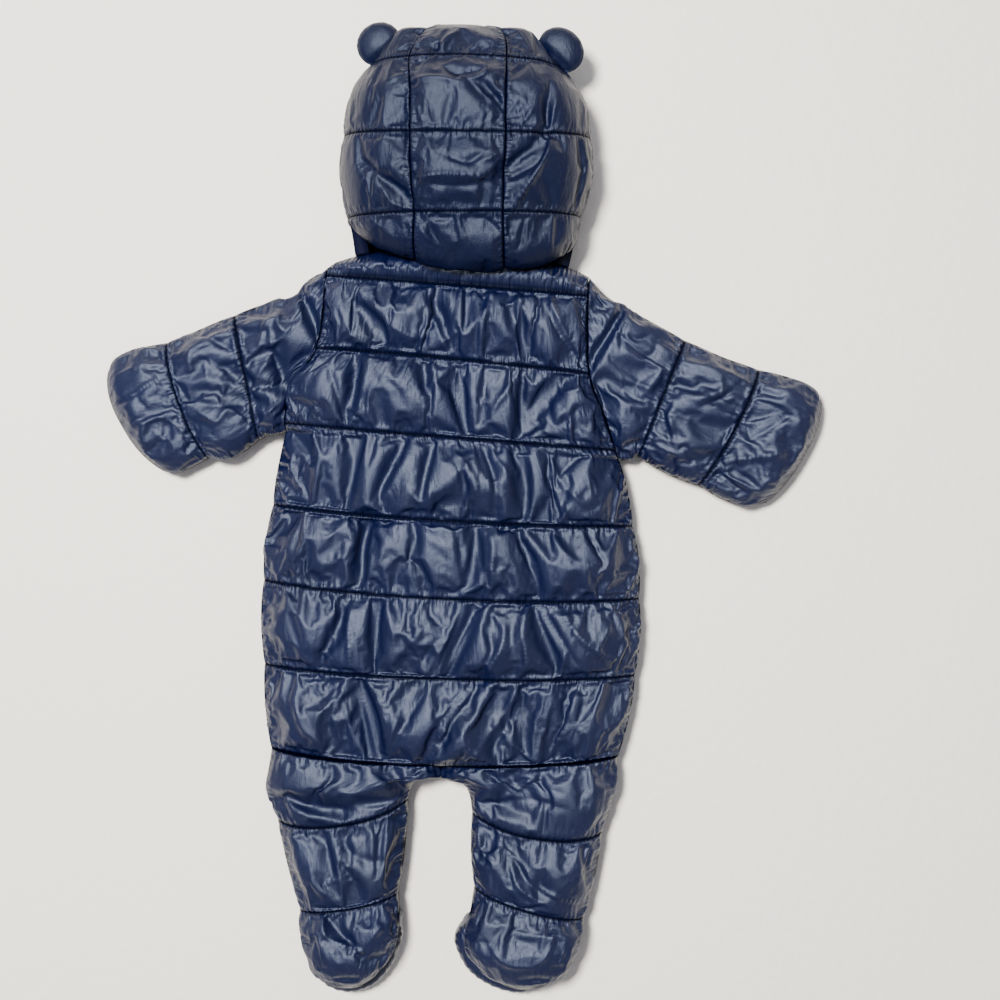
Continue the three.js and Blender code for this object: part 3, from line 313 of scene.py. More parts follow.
BODY_CREASES = [
    Crease(((-78.3, 144.6), (-58.9, 128.2), (-51.4, 110.3)), 4.5, -3.0),
    Crease(((-61.9, 147.6), (-54.4, 129.7), (-35, 117.7), (-24.6, 117.7)), 3.0, 2.2),
    Crease(((-23.1, 144.6), (-14.1, 129.7), (-6.7, 107.3)), 4.0, -2.6),
    Crease(((-21.6, 134.1), (-14.1, 117.7), (-8.9, 104.3)), 2.2, 1.8),
    Crease(((21.7, 149.8), (16.5, 132.6), (12.7, 113.2)), 2.2, 1.8),
    Crease(((29.1, 137.1), (38.1, 122.2), (41.1, 102.8)), 4.0, -2.4),
    Crease(((36.6, 146.1), (42.6, 132.6), (47, 123.7)), 2.2, 1.8),
    Crease(((56, 141.6), (64.9, 122.2), (82.8, 96.8)), 3.6, -2.8),
    Crease(((60.5, 140.1), (69.4, 120.7), (78.4, 107.3)), 2.2, 1.6),
    Crease(((-93.2, 99.8), (-87.2, 78.9), (-82, 61)), 3.0, -2.2),
    Crease(((-69.3, 98.3), (-74.6, 84.9), (-76, 67)), 3.0, -2.2),
    Crease(((-63.4, 98.3), (-67.8, 75.9), (-73.1, 56.6)), 2.0, 1.8),
    Crease(((-26.1, 98.3), (-26.1, 87.9), (-24.6, 77.4)), 3.0, -2.4),
    Crease(((-8.2, 95.3), (-5.2, 75.9), (0.8, 55.1)), 2.6, -2.0),
    Crease(((-2.9, 95.3), (5.3, 78.9), (4.5, 52.8)), 1.9, 1.7),
    Crease(((41.8, 93.1), (41.8, 73), (42.3, 55.1)), 2.4, -3.0),
    Crease(((39.6, 93.1), (29.1, 78.9), (20.2, 65.5)), 2.0, 1.7),
    Crease(((60.5, 89.4), (53, 77.4), (46.3, 67)), 3.4, -2.2),
    Crease(((65.7, 90.9), (70.2, 77.4), (87.3, 81.2)), 2.0, 1.6),
    Crease(((59, 73), (65.7, 55.8), (85.8, 70)), 3.2, -2.2),
    Crease(((-37.1, 44.7), (-41.6, 26.1), (-56.5, 2.2)), 2.6, 2.0),
    Crease(((-43.8, 44.7), (-47.5, 29.1), (-59.5, 8.2)), 2.4, -2.2),
    Crease(((-22.2, 39.5), (-25.2, 24.6), (-28.1, 2.2)), 3.2, -2.2),
    Crease(((-16.2, 41), (-22.2, 15.7), (-20.7, -2.3)), 2.2, 1.7),
    Crease(((-8.7, 36.5), (0.2, 18.6), (4.7, -0.8)), 2.4, -2.0),
    Crease(((-4.3, 36.5), (7.7, 17.1), (8.4, -0.8)), 1.9, 1.8),
    Crease(((13.6, 42.5), (20.4, 18.6), (22.6, -3.7)), 2.6, -2.4),
    Crease(((9.9, 44), (16.6, 23.1), (18.1, -3.7)), 1.8, 1.8),
    Crease(((19.6, 39.5), (26.3, 27.6), (30.1, 15.7)), 1.9, 1.7),
    Crease(((42, 36.5), (43.5, 15.7), (44.2, -3.7)), 4.0, -2.2),
    Crease(((58.4, 38), (70.3, 17.1), (85.3, 2.2)), 2.6, 2.0),
    Crease(((-62.5, -9.7), (-69.2, -29.1), (-70.7, -51.5)), 3.2, -2.8),
    Crease(((-58.7, -9.7), (-63.9, -26.1), (-62.5, -50)), 2.0, 1.8),
    Crease(((15.1, -14.2), (21.1, -29.1), (19.6, -56)), 2.0, 1.7),
    Crease(((9.9, -14.2), (12.1, -32.1), (15.1, -53)), 2.6, -2.0),
    Crease(((35.3, -26.1), (43.5, -42.5), (51.7, -57.5)), 1.9, 1.7),
    Crease(((39, -24.6), (49.4, -38.1), (53.9, -50)), 3.2, -2.0),
    Crease(((59.9, -18.7), (70.3, -32.1), (79.3, -38.1)), 2.2, 1.6),
    Crease(((-7.2, -14.2), (-2, -29.1), (-1.3, -44)), 2.2, -1.8),
    Crease(((6.2, -20.2), (3.2, -33.6), (1, -45.5)), 2.0, 1.6),
    Crease(((-78.1, -61.9), (-86.3, -81.3), (-96.8, -103.7)), 3.0, -2.8),
    Crease(((-72.9, -60.4), (-78.9, -81.3), (-78.1, -109.7)), 2.0, 1.8),
    Crease(((-56.5, -64.9), (-58, -79.8), (-57.2, -99.2)), 1.7, -2.0),
    Crease(((-54.2, -64.9), (-49, -78.3), (-46, -91.8)), 2.0, 1.5),
    Crease(((-19.2, -76.9), (-34.1, -88.8), (-47.5, -105.2)), 3.6, 2.0),
    Crease(((-16.2, -84.3), (-23.7, -99.2), (-34.1, -109.7)), 3.2, -2.0),
    Crease(((7.7, -79.8), (-2.8, -97.7), (-14, -115.6)), 2.0, 1.9),
    Crease(((-1.3, -72.4), (-7.2, -88.8), (-19.2, -111.2)), 3.0, -2.6),
    Crease(((16.6, -69.4), (29.3, -87.3), (16.6, -115.6)), 2.0, 1.8),
    Crease(((18.1, -85.8), (21.1, -97.7), (13.6, -114.2)), 2.6, -2.2),
    Crease(((43.5, -72.4), (40.5, -88.8), (45.7, -114.9)), 2.2, 1.8),
    Crease(((36, -69.4), (33.8, -88.8), (34.5, -111.2)), 3.2, -2.0),
    Crease(((48.7, -64.9), (61.4, -88.8), (74.8, -111.2)), 2.2, 1.9),
    Crease(((53.9, -66.4), (68.8, -91.8), (79.3, -108.2)), 2.2, -2.0),
    Crease(((64.4, -66.4), (80.8, -90.3), (101.7, -105.2)), 2.0, 1.7),
    Crease(((101.7, -82.8), (92.7, -99.2), (104.7, -105.2), (113.6, -91.8)), 2.2, 1.7),
    Crease(((10.5, -122.2), (-9.2, -147), (-24.6, -174.4)), 2.0, 2.4),
    Crease(((4.5, -123.1), (-15.1, -149.6), (-27.1, -171)), 3.6, -3.2),
    Crease(((-69.1, -126.5), (-60.5, -145.3), (-57.9, -164.1)), 3.4, -2.6),
    Crease(((-74.2, -121.4), (-65.6, -147), (-58.8, -171)), 2.0, 1.6),
    Crease(((-117, -131.6), (-109.3, -152.2), (-95.6, -165)), 3.0, 2.0),
    Crease(((81.6, -123.1), (73.9, -147), (60.2, -171.8)), 2.6, 2.0),
    Crease(((86.7, -124.8), (81.6, -145.3), (69.6, -167.6)), 3.0, -2.0),
    Crease(((37.1, -128.2), (25.1, -148.7), (8, -169.3)), 2.6, 1.8),
    Crease(((42.2, -129.9), (30.2, -152.2), (18.2, -171)), 3.2, -2.0),
    Crease(((-86.2, -121.4), (-89.6, -138.5), (-93, -155.6)), 2.0, -1.6),
    Crease(((-22.8, -124.8), (-38.3, -147), (-50.2, -169.3)), 2.4, -2.0),
    Crease(((-41.7, -138.5), (-46.8, -155.6), (-53.7, -171)), 2.0, 1.5),
]

LEG_CREASES = [
    Crease(((-84.5, -190.7), (-93.9, -196.7), (-96.8, -206.9)), 2.4, 2.0),
    Crease(((-60.5, -176.1), (-53.7, -186.4), (-46.8, -194.9)), 4.5, -2.6),
    Crease(((31.9, -201.8), (42.2, -193.2), (54.2, -184.7)), 2.6, 2.0),
    Crease(((21.7, -205.2), (45.6, -203.5), (71.3, -208.6)), 3.0, -2.0),
    Crease(((-125.5, -205.2), (-108.4, -213.8), (-93, -215.5)), 2.2, 1.8),
    Crease(((-70.8, -208.6), (-57.1, -208.6), (-41.7, -201.8)), 2.2, 1.8),
    Crease(((8, -205.2), (18.2, -218.9), (31.9, -224)), 2.0, 1.6),
    Crease(((29.4, -238.4), (41.2, -247.3), (53.1, -263.6), (79.7, -275.4)), 1.8, 2.2),
    Crease(((32.4, -239.9), (39.8, -262.1), (57.5, -274.7)), 1.8, 2.0),
    Crease(((36.8, -242.8), (46.4, -259.1), (62, -271)), 2.6, -2.2),
    Crease(((10.1, -223.6), (14.6, -241.3), (29.4, -237.6)), 1.7, 1.8),
    Crease(((13.1, -242.8), (20.5, -245.8), (22, -251.7)), 1.7, 1.6),
    Crease(((63.4, -288.7), (59, -306.5), (50.1, -316.1)), 2.4, 2.0),
    Crease(((19, -302.1), (30.9, -313.9), (48.6, -316.9)), 2.6, 1.7),
    Crease(((-98, -284.3), (-93.5, -297.6), (-66.9, -307.2)), 2.2, 2.2),
    Crease(((-93.5, -285.8), (-81.7, -297.6), (-68.3, -305)), 2.2, -1.8),
    Crease(((-66.9, -302.1), (-60.9, -294.7), (-55, -290.2)), 3.0, 1.8),
    Crease(((-106.8, -244.3), (-102.4, -262.1), (-93.5, -268)), 2.8, 1.6),
    Crease(((-92, -226.5), (-71.3, -242.8), (-50.6, -245.8)), 3.2, -1.8),
]

SLEEVE_CREASES = [
    Crease(((-141.2, 111.8), (-138.2, 126), (-130, 131.6)), 1.8, 2.0),
    Crease(((-136.1, 128), (-132.6, 112.8), (-129, 105.7)), 1.8, 1.8),
    Crease(((-132.1, 105.7), (-128, 95.5), (-120.9, 79.3)), 2.6, -2.2),
    Crease(((-142.2, 91.5), (-137.2, 97.6), (-131.1, 100.6)), 1.8, 1.8),
    Crease(((-129, 136.1), (-129, 127), (-124, 121.9), (-119.9, 130)), 1.8, 1.8),
    Crease(((-177.8, 102.6), (-171.7, 95.5), (-163.5, 90.5)), 2.0, 1.6),
    Crease(((-179.8, 118.9), (-167.6, 111.8), (-156.4, 106.7)), 2.2, -2.0),
    Crease(((-188.9, 91.5), (-187.9, 108.7), (-169.6, 112.8)), 2.8, 1.6),
    Crease(((-244.8, 69.1), (-230.6, 76.2), (-210.2, 90.5)), 1.8, -2.4),
    Crease(((-231.6, 56.4), (-210.2, 62), (-187.9, 45.8)), 2.2, 2.0),
    Crease(((-232.6, 59.5), (-220.4, 62), (-209.2, 65.1)), 2.4, -2.6),
    Crease(((-184.9, 67.1), (-171.7, 59), (-162.5, 67.1), (-148.3, 54.9)), 1.8, 1.8),
    Crease(((-194, 75.2), (-174.7, 70.2), (-154.4, 71.2)), 3.2, -2.4),
    Crease(((115, 130.1), (111.8, 118.2), (110.7, 106.3)), 1.8, 1.8),
    Crease(((116.1, 119.2), (121.5, 115.5), (130.7, 118.2)), 1.8, 1.8),
    Crease(((143.2, 82.5), (164.8, 74.4), (186.4, 83.6)), 2.6, -2.6),
    Crease(((164.8, 69.5), (176.7, 73.8), (187.5, 80.3)), 2.2, 1.8),
    Crease(((182.1, 65.2), (201.5, 57.6), (221, 63.6)), 2.0, -2.6),
    Crease(((199.4, 46.8), (214.5, 54.4), (227.5, 64.1)), 2.2, 2.0),
    Crease(((163.7, 29.5), (192.9, 32.7), (236.1, 40.3)), 2.6, -2.8),
    Crease(((164.8, 16.5), (187.5, 24.1), (203.7, 17.6)), 2.2, 2.0),
    Crease(((136.7, 69.5), (142.1, 57.6), (144.8, 43.6)), 1.8, 1.8),
    Crease(((141, 66.3), (145.3, 56.5), (147.5, 46.8)), 2.2, -2.0),
    Crease(((149.6, 39.2), (155.1, 41.4), (159.9, 32.2)), 1.8, 1.8),
    Crease(((135.6, 116), (132.3, 106.3), (123.7, 103)), 2.0, 1.7),
    Crease(((109.6, 89), (120.5, 85.7), (133.4, 80.3)), 2.4, -1.8),
]

HOOD_CREASES = [
    Crease(((-29.3, 295.6), (-15.9, 304.1), (-11.1, 315.1), (-2.6, 321.1)), 1.8, 2.2),
    Crease(((-30.5, 298.1), (-19.6, 305.3), (-15.9, 313.8)), 2.6, -2.4),
    Crease(((11.4, 301.7), (16.8, 291.4), (9.5, 284.7), (-0.8, 285.9)), 1.6, 2.2),
    Crease(((-12.3, 294.4), (-2.6, 289.6), (12, 290.8)), 3.4, -3.0),
    Crease(((7.1, 282.9), (19.3, 270.1), (32, 261.6)), 1.6, 2.4),
    Crease(((13.2, 283.5), (20.5, 275), (30.2, 266.5)), 3.0, -2.6),
    Crease(((-31.7, 285.9), (-14.7, 284.7), (4.7, 281.1)), 1.8, 1.6),
    Crease(((-29.3, 209.4), (-20.8, 219.7), (20.5, 218.5)), 2.0, 2.2),
    Crease(((-19.6, 214.9), (-2.6, 213.1), (19.3, 215.5)), 2.6, -2.4),
    Crease(((56.9, 242.2), (48.4, 228.8), (27.8, 218.5)), 3.6, -4.0),
    Crease(((59.9, 247.1), (53.3, 228.8), (36.3, 200.9)), 1.8, 2.4),
    Crease(((-69.4, 234.9), (-53.6, 221.6), (-34.2, 209.4)), 3.0, -3.0),
    Crease(((-52.4, 214.3), (-46.3, 204.6), (-32.3, 198.5)), 1.8, 2.2),
    Crease(((-29.3, 193.6), (-24.4, 183.9), (-14.7, 176.6)), 2.4, 2.0),
    Crease(((58.7, 284.7), (57.5, 265.3), (58.1, 250.7)), 1.8, -2.6),
    Crease(((63, 275), (61.1, 262.8), (59.9, 253.1)), 1.8, 1.6),
    Crease(((9.5, 228.8), (19.3, 231.3), (26.5, 237.3)), 2.4, 1.8),
    Crease(((-12.3, 233.7), (4.7, 228.8), (14.4, 234.9)), 3.0, -2.2),
    Crease(((-47.5, 284.7), (-41.4, 289.6), (-36.6, 290.8)), 1.7, 1.6),
    Crease(((38.7, 253.1), (44.8, 261.6), (47.2, 266.5)), 2.0, 1.5),
]


def smooth(t: np.ndarray) -> np.ndarray:
    """A soft step from 0 to 1."""
    t = np.clip(t, 0, 1)
    return t * t * (3 - 2 * t)


def mix(a: np.ndarray, b: np.ndarray, t: np.ndarray) -> np.ndarray:
    """The value a share t of the way from a to b."""
    return a + (b - a) * t


def column(rows: Sequence[Line | HoodLine], v: np.ndarray, pick: Callable[[Line], float]) -> np.ndarray:
    """A smooth curve through one column of a table.

    Args:
        rows: The table.
        v: Places along it.
        pick: Gives the column's value in a row.

    Returns:
        The curve's value at each place.
    """
    at = np.array([row.at for row in rows], float)
    value = np.array([pick(row) for row in rows], float)
    before = np.maximum(np.arange(len(at)) - 1, 0)
    after = np.minimum(np.arange(len(at)) + 1, len(at) - 1)
    slope = (value[after] - value[before]) / (at[after] - at[before])
    v = np.asarray(v, float)
    k = np.clip(np.searchsorted(at, v, side="left") - 1, 0, len(at) - 2)
    span = at[k + 1] - at[k]
    t = np.clip((v - at[k]) / span, 0, 1)
    swing = (t**3 - 2 * t**2 + t) * slope[k] + (t**3 - t**2) * slope[k + 1]
    return mix(value[k], value[k + 1], smooth(t)) + span * swing


def row_ends(rows: Sequence[Line | HoodLine], v: np.ndarray) -> tuple[np.ndarray, ...]:
    """The x and y of a table's left ends, and then of its right ends."""
    return tuple(column(rows, v, lambda r, k=k: (*r.left, *r.right)[k]) for k in range(4))


def arch(u: np.ndarray) -> np.ndarray:
    """Height across a panel, 0 at its two sides and 1 in its middle."""
    return np.maximum(1 - np.abs(2 * np.clip(u, 0, 1) - 1) ** 2.5, 0) ** (1 / 2.1)


def full_arch(u: np.ndarray) -> np.ndarray:
    """The same for a puff, which is full over most of its width."""
    return np.clip(arch(u) * 1.3, 0, 1) ** 0.8


def flat_arch(u: np.ndarray) -> np.ndarray:
    """The same for an underside that lies flat over most of its width."""
    return np.minimum(1, arch(u) * 1.22)


def bow_shape(u: np.ndarray) -> np.ndarray:
    """A stitch line's bow across its width."""
    return 1 - np.abs(2 * u - 1) ** 2.6


def puff(v: np.ndarray) -> np.ndarray:
    """Puff between two stitch lines, 0 at a line and 1 halfway."""
    return np.abs(np.sin(np.pi * v)) ** 0.62


def groove(v: np.ndarray) -> np.ndarray:
    """A stitch line on the underside, 1 at the line and 0 over the flat between."""
    return np.clip(1 - np.abs(np.sin(np.pi * v)) * 1.9, 0, 1)


def fold_depth(folds: Sequence[Fold], x: np.ndarray, y: np.ndarray) -> np.ndarray:
    """Depth of the folds at places in plan, in millimetres."""
    depth = np.zeros_like(x)
    for fold in folds:
        dx, dy = fold.end[0] - fold.start[0], fold.end[1] - fold.start[1]
        t = np.clip(((x - fold.start[0]) * dx + (y - fold.start[1]) * dy) / (dx * dx + dy * dy), 0, 1)
        away = np.hypot(x - fold.start[0] - t * dx, y - fold.start[1] - t * dy)
        depth += fold.depth * np.exp(-((away / fold.width) ** 2)) * (0.55 + 0.45 * np.sin(np.pi * t))
    return depth


def crease_height(creases: Sequence[Crease], x: np.ndarray, y: np.ndarray) -> np.ndarray:
    """Height of the narrow creases at places in plan, in millimetres."""
    height = np.zeros_like(x)
    for crease in creases:
        path = smooth_path(np.array(crease.path, float))
        near = (np.abs(x - path[:, 0].mean()) < 60) & (np.abs(y - path[:, 1].mean()) < 60)
        away = np.hypot(x[near, None] - path[None, :, 0], y[near, None] - path[None, :, 1])
        closest = np.argmin(away, axis=1)
        taper = 0.25 + 0.75 * np.sin(np.pi * closest / (len(path) - 1)) ** 0.7
        off = away[np.arange(len(away)), closest] / (crease.width * (0.5 + 0.5 * taper))
        height[near] += crease.height * taper * np.exp(-(off**1.6))
    return height


def spline(p0: np.ndarray, p1: np.ndarray, p2: np.ndarray, p3: np.ndarray, t: np.ndarray) -> np.ndarray:
    """Points between the second and third of four places, on a smooth curve through them."""
    bend, swing = 2 * p0 - 5 * p1 + 4 * p2 - p3, 3 * p1 - p0 - 3 * p2 + p3
    return 0.5 * (2 * p1 + (p2 - p0) * t + bend * t**2 + swing * t**3)


def with_ends(rows: np.ndarray) -> np.ndarray:
    """The rows with one more at each end, straight on from the last two."""
    return np.concatenate([2 * rows[:1] - rows[1:2], rows, 2 * rows[-1:] - rows[-2:-1]])


def smooth_path(corners: np.ndarray, steps: int = 10) -> np.ndarray:
    """Points on an open smooth curve through the corners, in plan."""
    ends = with_ends(corners)
    t = (np.arange(steps) / steps)[:, None]
    spans = zip(ends[:-3], ends[1:-2], ends[2:-1], ends[3:], strict=True)
    return np.concatenate([*(spline(*span, t) for span in spans), corners[-1:]])


def smooth_loop(corners: Sequence[tuple[float, float]], count: int) -> np.ndarray:
    """Points on a closed smooth curve through the corners, in plan."""
    corner = np.array(corners, float)
    at = np.arange(count) * len(corner) / count
    k, t = at.astype(int), (at % 1)[:, None]
    return spline(*(corner[(k + step) % len(corner)] for step in (-1, 0, 1, 2)), t)


def run_along(path: np.ndarray) -> np.ndarray:
    """The length of a path up to each of its points."""
    return np.concatenate([[0], np.cumsum(np.linalg.norm(np.diff(path, axis=0), axis=1))])


def points_at(at: np.ndarray, run: np.ndarray, path: np.ndarray) -> np.ndarray:
    """Points at the given lengths of a path, whose own points are at the lengths in run."""
    return np.column_stack([np.interp(at, run, values) for values in path.T])


def zip_x(y: np.ndarray) -> np.ndarray:
    """The zip's middle line."""
    return mix(ZIP_TOP[0], ZIP_BOTTOM[0], (ZIP_TOP[1] - y) / (ZIP_TOP[1] - ZIP_BOTTOM[1]))


def body_plan(u: np.ndarray, v: np.ndarray) -> tuple[np.ndarray, np.ndarray]:
    """The body in plan, at u across from left to right and stitch line v down."""
    x0, y0, x1, y1 = row_ends(BODY_LINES, v)
    return mix(x0, x1, u), mix(y0, y1, u) + column(BODY_LINES, v, lambda r: r.bow) * bow_shape(u)


@dataclass(frozen=True)
class Gather:
    """How padded cloth fills out between its stitch lines."""

    fuller: float = 0.08  # how much wider the cloth is than its place
    pressure: float = 3.0
    frames: int = 14
    steps: int = 4
    bend: float = 2.5
    reach: float = 8.0  # the most that a point may move, in millimetres
    fold_spacing: float = 22.0  # between two long folds, in millimetres
    fold_height: float = 0.9
    pucker: float = 0.6  # height of the small waves beside a stitch line, in millimetres
    pucker_length: float = 4.3
    side_puckers: float = 0.0  # share of them beside the two sides
    held: float = 9.0  # how near a stitch line the cloth can't shift sideways, in millimetres
    creases: Sequence[Crease] = ()


@dataclass(frozen=True)
class Cut:
    """How a piece's grid is laid out: its places across and along, its size and its stitch lines."""

    across: tuple[float, float]
    breaks: tuple[float, ...]
    lengths: tuple[float, ...]  # of the cloth between each two breaks, in millimetres
    width: float
    cell: float
    round_sides: float = 0.65  # how much closer the columns are at the two sides
    times: int = 1  # steps of the grid in one cell

    def columns(self) -> np.ndarray:
        """Places of the grid's columns."""
        count = max(6, round(self.width / self.cell)) * self.times
        t = np.arange(count + 1) / count
        t = mix(t, 0.5 - 0.5 * np.cos(np.pi * t), self.round_sides)
        return self.across[0] + (self.across[1] - self.across[0]) * t

    def rows(self) -> np.ndarray:
        """Places of the grid's rows, with one on each break."""
        rows = [np.array([self.breaks[0]], float)]
        for start, end, length in zip(self.breaks[:-1], self.breaks[1:], self.lengths, strict=True):
            count = max(2, round(length / self.cell)) * self.times
            rows.append(start + (end - start) * np.arange(1, count + 1) / count)
        return np.concatenate(rows)

    def finer(self) -> "Cut":
        """The same layout with twice the rows and columns."""
        return replace(self, times=2 * self.times)


@dataclass
class Patch:
    """A grid of cloth with u across and v along, sewn down on its edges and stitch lines."""

    cut: Cut
    u: np.ndarray
    v: np.ndarray
    place: np.ndarray  # of each point in the grid, row by row
    points: Points  # in millimetres
    sewn: np.ndarray
    to_line: np.ndarray  # distance to the nearest stitch line, in millimetres
    to_side: np.ndarray

    @property
    def share(self) -> np.ndarray:
        """How far across the piece each point is, from 0 to 1."""
        return (self.u - self.cut.across[0]) / (self.cut.across[1] - self.cut.across[0])

    @property
    def channel(self) -> np.ndarray:
        """The channel that each point is in, counted from the first break."""
        breaks = np.array(self.cut.breaks)
        return np.clip(np.searchsorted(breaks, self.v, side="right") - 1, 0, len(breaks) - 2)

    def line(self, at: float) -> Points:
        """The points of one row, from side to side."""
        on_row = np.nonzero(np.abs(self.v - at) < 1e-6)[0]
        return self.points[on_row[np.argsort(self.u[on_row])]]


def read_points(mesh: bpy.types.Mesh) -> Points:
    """A mesh's points as an array."""
    flat = np.empty(len(mesh.vertices) * 3)
    mesh.vertices.foreach_get("co", flat)
    return flat.reshape(-1, 3)


def write_points(mesh: bpy.types.Mesh, points: Points) -> None:
    """Moves a mesh's points to the given places."""
    mesh.vertices.foreach_set("co", np.ascontiguousarray(points, float).ravel())
    mesh.update()


def point_normals(mesh: bpy.types.Mesh) -> Points:
    """A mesh's normals at its points."""
    flat = np.empty(len(mesh.vertices) * 3)
    mesh.vertex_normals.foreach_get("vector", flat)
    return flat.reshape(-1, 3)


@contextmanager
def editing(mesh: bpy.types.Mesh) -> Iterator[bmesh.types.BMesh]:
    """Opens a mesh for changes, and writes them back."""
    made = bmesh.new()
    made.from_mesh(mesh)
    yield made
    made.to_mesh(mesh)
    made.free()


def grid_mesh(name: str, columns: int, rows: int, size: float = 1) -> bpy.types.Mesh:
    """Makes a flat square mesh with the given number of faces across and along."""
    mesh = bpy.data.meshes.new(name)
    with editing(mesh) as made:
        bmesh.ops.create_grid(made, x_segments=columns, y_segments=rows, size=size)
    return mesh


def add_object(name: str, data: bpy.types.ID) -> bpy.types.Object:
    """Makes an object and puts it in the scene."""
    made = bpy.data.objects.new(name, data)
    bpy.context.scene.collection.objects.link(made)
    return made


def lay_out(name: str, cut: Cut, surface: Surface) -> tuple[bpy.types.Object, Patch]:
    """Makes a piece's grid of cloth on its surface.

    Args:
        name: The object's name.
        cut: The grid's layout.
        surface: Gives points in millimetres, for places across and along.

    Returns:
        The object, and its cloth as arrays.
    """
    columns, rows = cut.columns(), cut.rows()
    mesh = grid_mesh(name, len(columns) - 1, len(rows) - 1)
    square = read_points(mesh)
    i = np.round((square[:, 0] + 1) / 2 * (len(columns) - 1)).astype(int)
    j = np.round((1 - square[:, 1]) / 2 * (len(rows) - 1)).astype(int)
    u, v = columns[i], rows[j]
    breaks, lengths = np.array(cut.breaks), np.array(cut.lengths)
    on_line = np.min(np.abs(v[:, None] - breaks[None, :]), axis=1) < 1e-6
    on_side = (i == 0) | (i == len(columns) - 1)
    k = np.clip(np.searchsorted(breaks, v, side="right") - 1, 0, len(lengths) - 1)
    t = (v - breaks[k]) / (breaks[k + 1] - breaks[k])
    share = (u - cut.across[0]) / (cut.across[1] - cut.across[0])
    patch = Patch(
        cut, u, v, j * len(columns) + i, surface(u, v) + PLAN_SHIFT, on_line | on_side,
        np.minimum(t, 1 - t) * lengths[k], np.minimum(share, 1 - share) * cut.width,
    )  # fmt: skip
    write_points(mesh, patch.points * MM)
    return add_object(name, mesh), patch


def remove(piece: bpy.types.Object) -> None:
    """Deletes an object with its mesh."""
    mesh = piece.data
    bpy.data.objects.remove(piece)
    bpy.data.meshes.remove(mesh)


def long_folds(patch: Patch, gather: Gather, seed: int) -> np.ndarray:
    """Soft folds that run across the channels from one stitch line towards the next.

    Args:
        patch: The cloth.
        gather: How many folds there are and how high.
        seed: A number that makes this piece's folds its own.

    Returns:
        How far each point lies off the surface, in millimetres.
    """
    rng = np.random.default_rng(SEED + seed)
    run = patch.share * patch.cut.width
    lift = np.zeros_like(run)
    for k, length in enumerate(patch.cut.lengths):
        if length < gather.fold_spacing * 1.6:
            continue
        inside = patch.channel == k
        start, end = patch.cut.breaks[k : k + 2]
        t = (patch.v[inside] - start) / (end - start)
        count = round(patch.cut.width / gather.fold_spacing)
        for place in (np.arange(count) + rng.uniform(0.1, 0.9, count)) * patch.cut.width / count:
            slant, wobble, phase = rng.uniform(-9, 9), rng.uniform(0.5, 3.0), rng.uniform(0, 6)
            half_width, height = rng.uniform(2.6, 6.0), rng.uniform(0.35, 1.0) * rng.choice([-0.8, 1.0])
            reach = rng.uniform(0.45, 1.3)
            along = 1 - t if rng.random() < 0.4 else t
            middle = place + slant * (along - 0.2) + wobble * np.sin(np.pi * (1.7 * along + phase))
            shape = np.exp(-(((run[inside] - middle) / (half_width * (0.75 + 0.5 * along))) ** 2))
            lift[inside] += gather.fold_height * height * shape * smooth((reach - along) * 3)
    fade = np.clip(patch.to_line / 4, 0, 1) * smooth(patch.to_side / 9)
    return lift * fade


def small_puckers(patch: Patch, gather: Gather) -> np.ndarray:
    """Short waves square to each stitch line, as its sewing gathers the cloth, in millimetres off the surface."""
    run = patch.share * patch.cut.width
    down = patch.v * 50
    breaks = np.array(patch.cut.breaks)
    nearest = np.argmin(np.abs(patch.v[:, None] - breaks[None, :]), axis=1)
    side = np.sign(patch.v - breaks[nearest])

    def wave(s: np.ndarray, off: np.ndarray, key: np.ndarray) -> np.ndarray:
        wander = 2.4 * np.sin(s / 19 + 1.3 * key) + 1.5 * np.sin(s / 7.3 + 2.1 * key)
        length = 2.2 + 5.5 * (0.5 + 0.5 * np.sin(s / 11 + key)) * (0.5 + 0.5 * np.sin(s / 4.7 + 2 * key))
        height = np.sin(2 * np.pi * s / gather.pucker_length + wander) * np.exp(-off / length)
        return height * (1 - np.exp(-off / 0.8))

    across = wave(run, patch.to_line, nearest + 0.45 * side) * smooth(patch.to_side / 5)
    beside = wave(down, patch.to_side, np.round(patch.share) * 3.0) * smooth(patch.to_line / 5)
    return gather.pucker * (across + gather.side_puckers * beside)


def in_grid(patch: Patch, values: np.ndarray) -> np.ndarray:
    """Values of a patch's points as an array of rows and columns."""
    grid = np.empty_like(values)
    grid[patch.place] = values
    return grid.reshape(len(patch.cut.rows()), len(patch.cut.columns()), -1)


def doubled(grid: np.ndarray) -> np.ndarray:
    """Values on a grid with twice the steps, on smooth curves through the old ones."""
    for axis in (0, 1):
        old = np.moveaxis(grid, axis, 0)
        ends = with_ends(old)
        new = np.empty((2 * len(old) - 1, *old.shape[1:]))
        new[::2] = old
        new[1::2] = (9 * (ends[1:-2] + ends[2:-1]) - ends[:-3] - ends[3:]) / 16
        grid = np.moveaxis(new, 0, axis)
    return grid


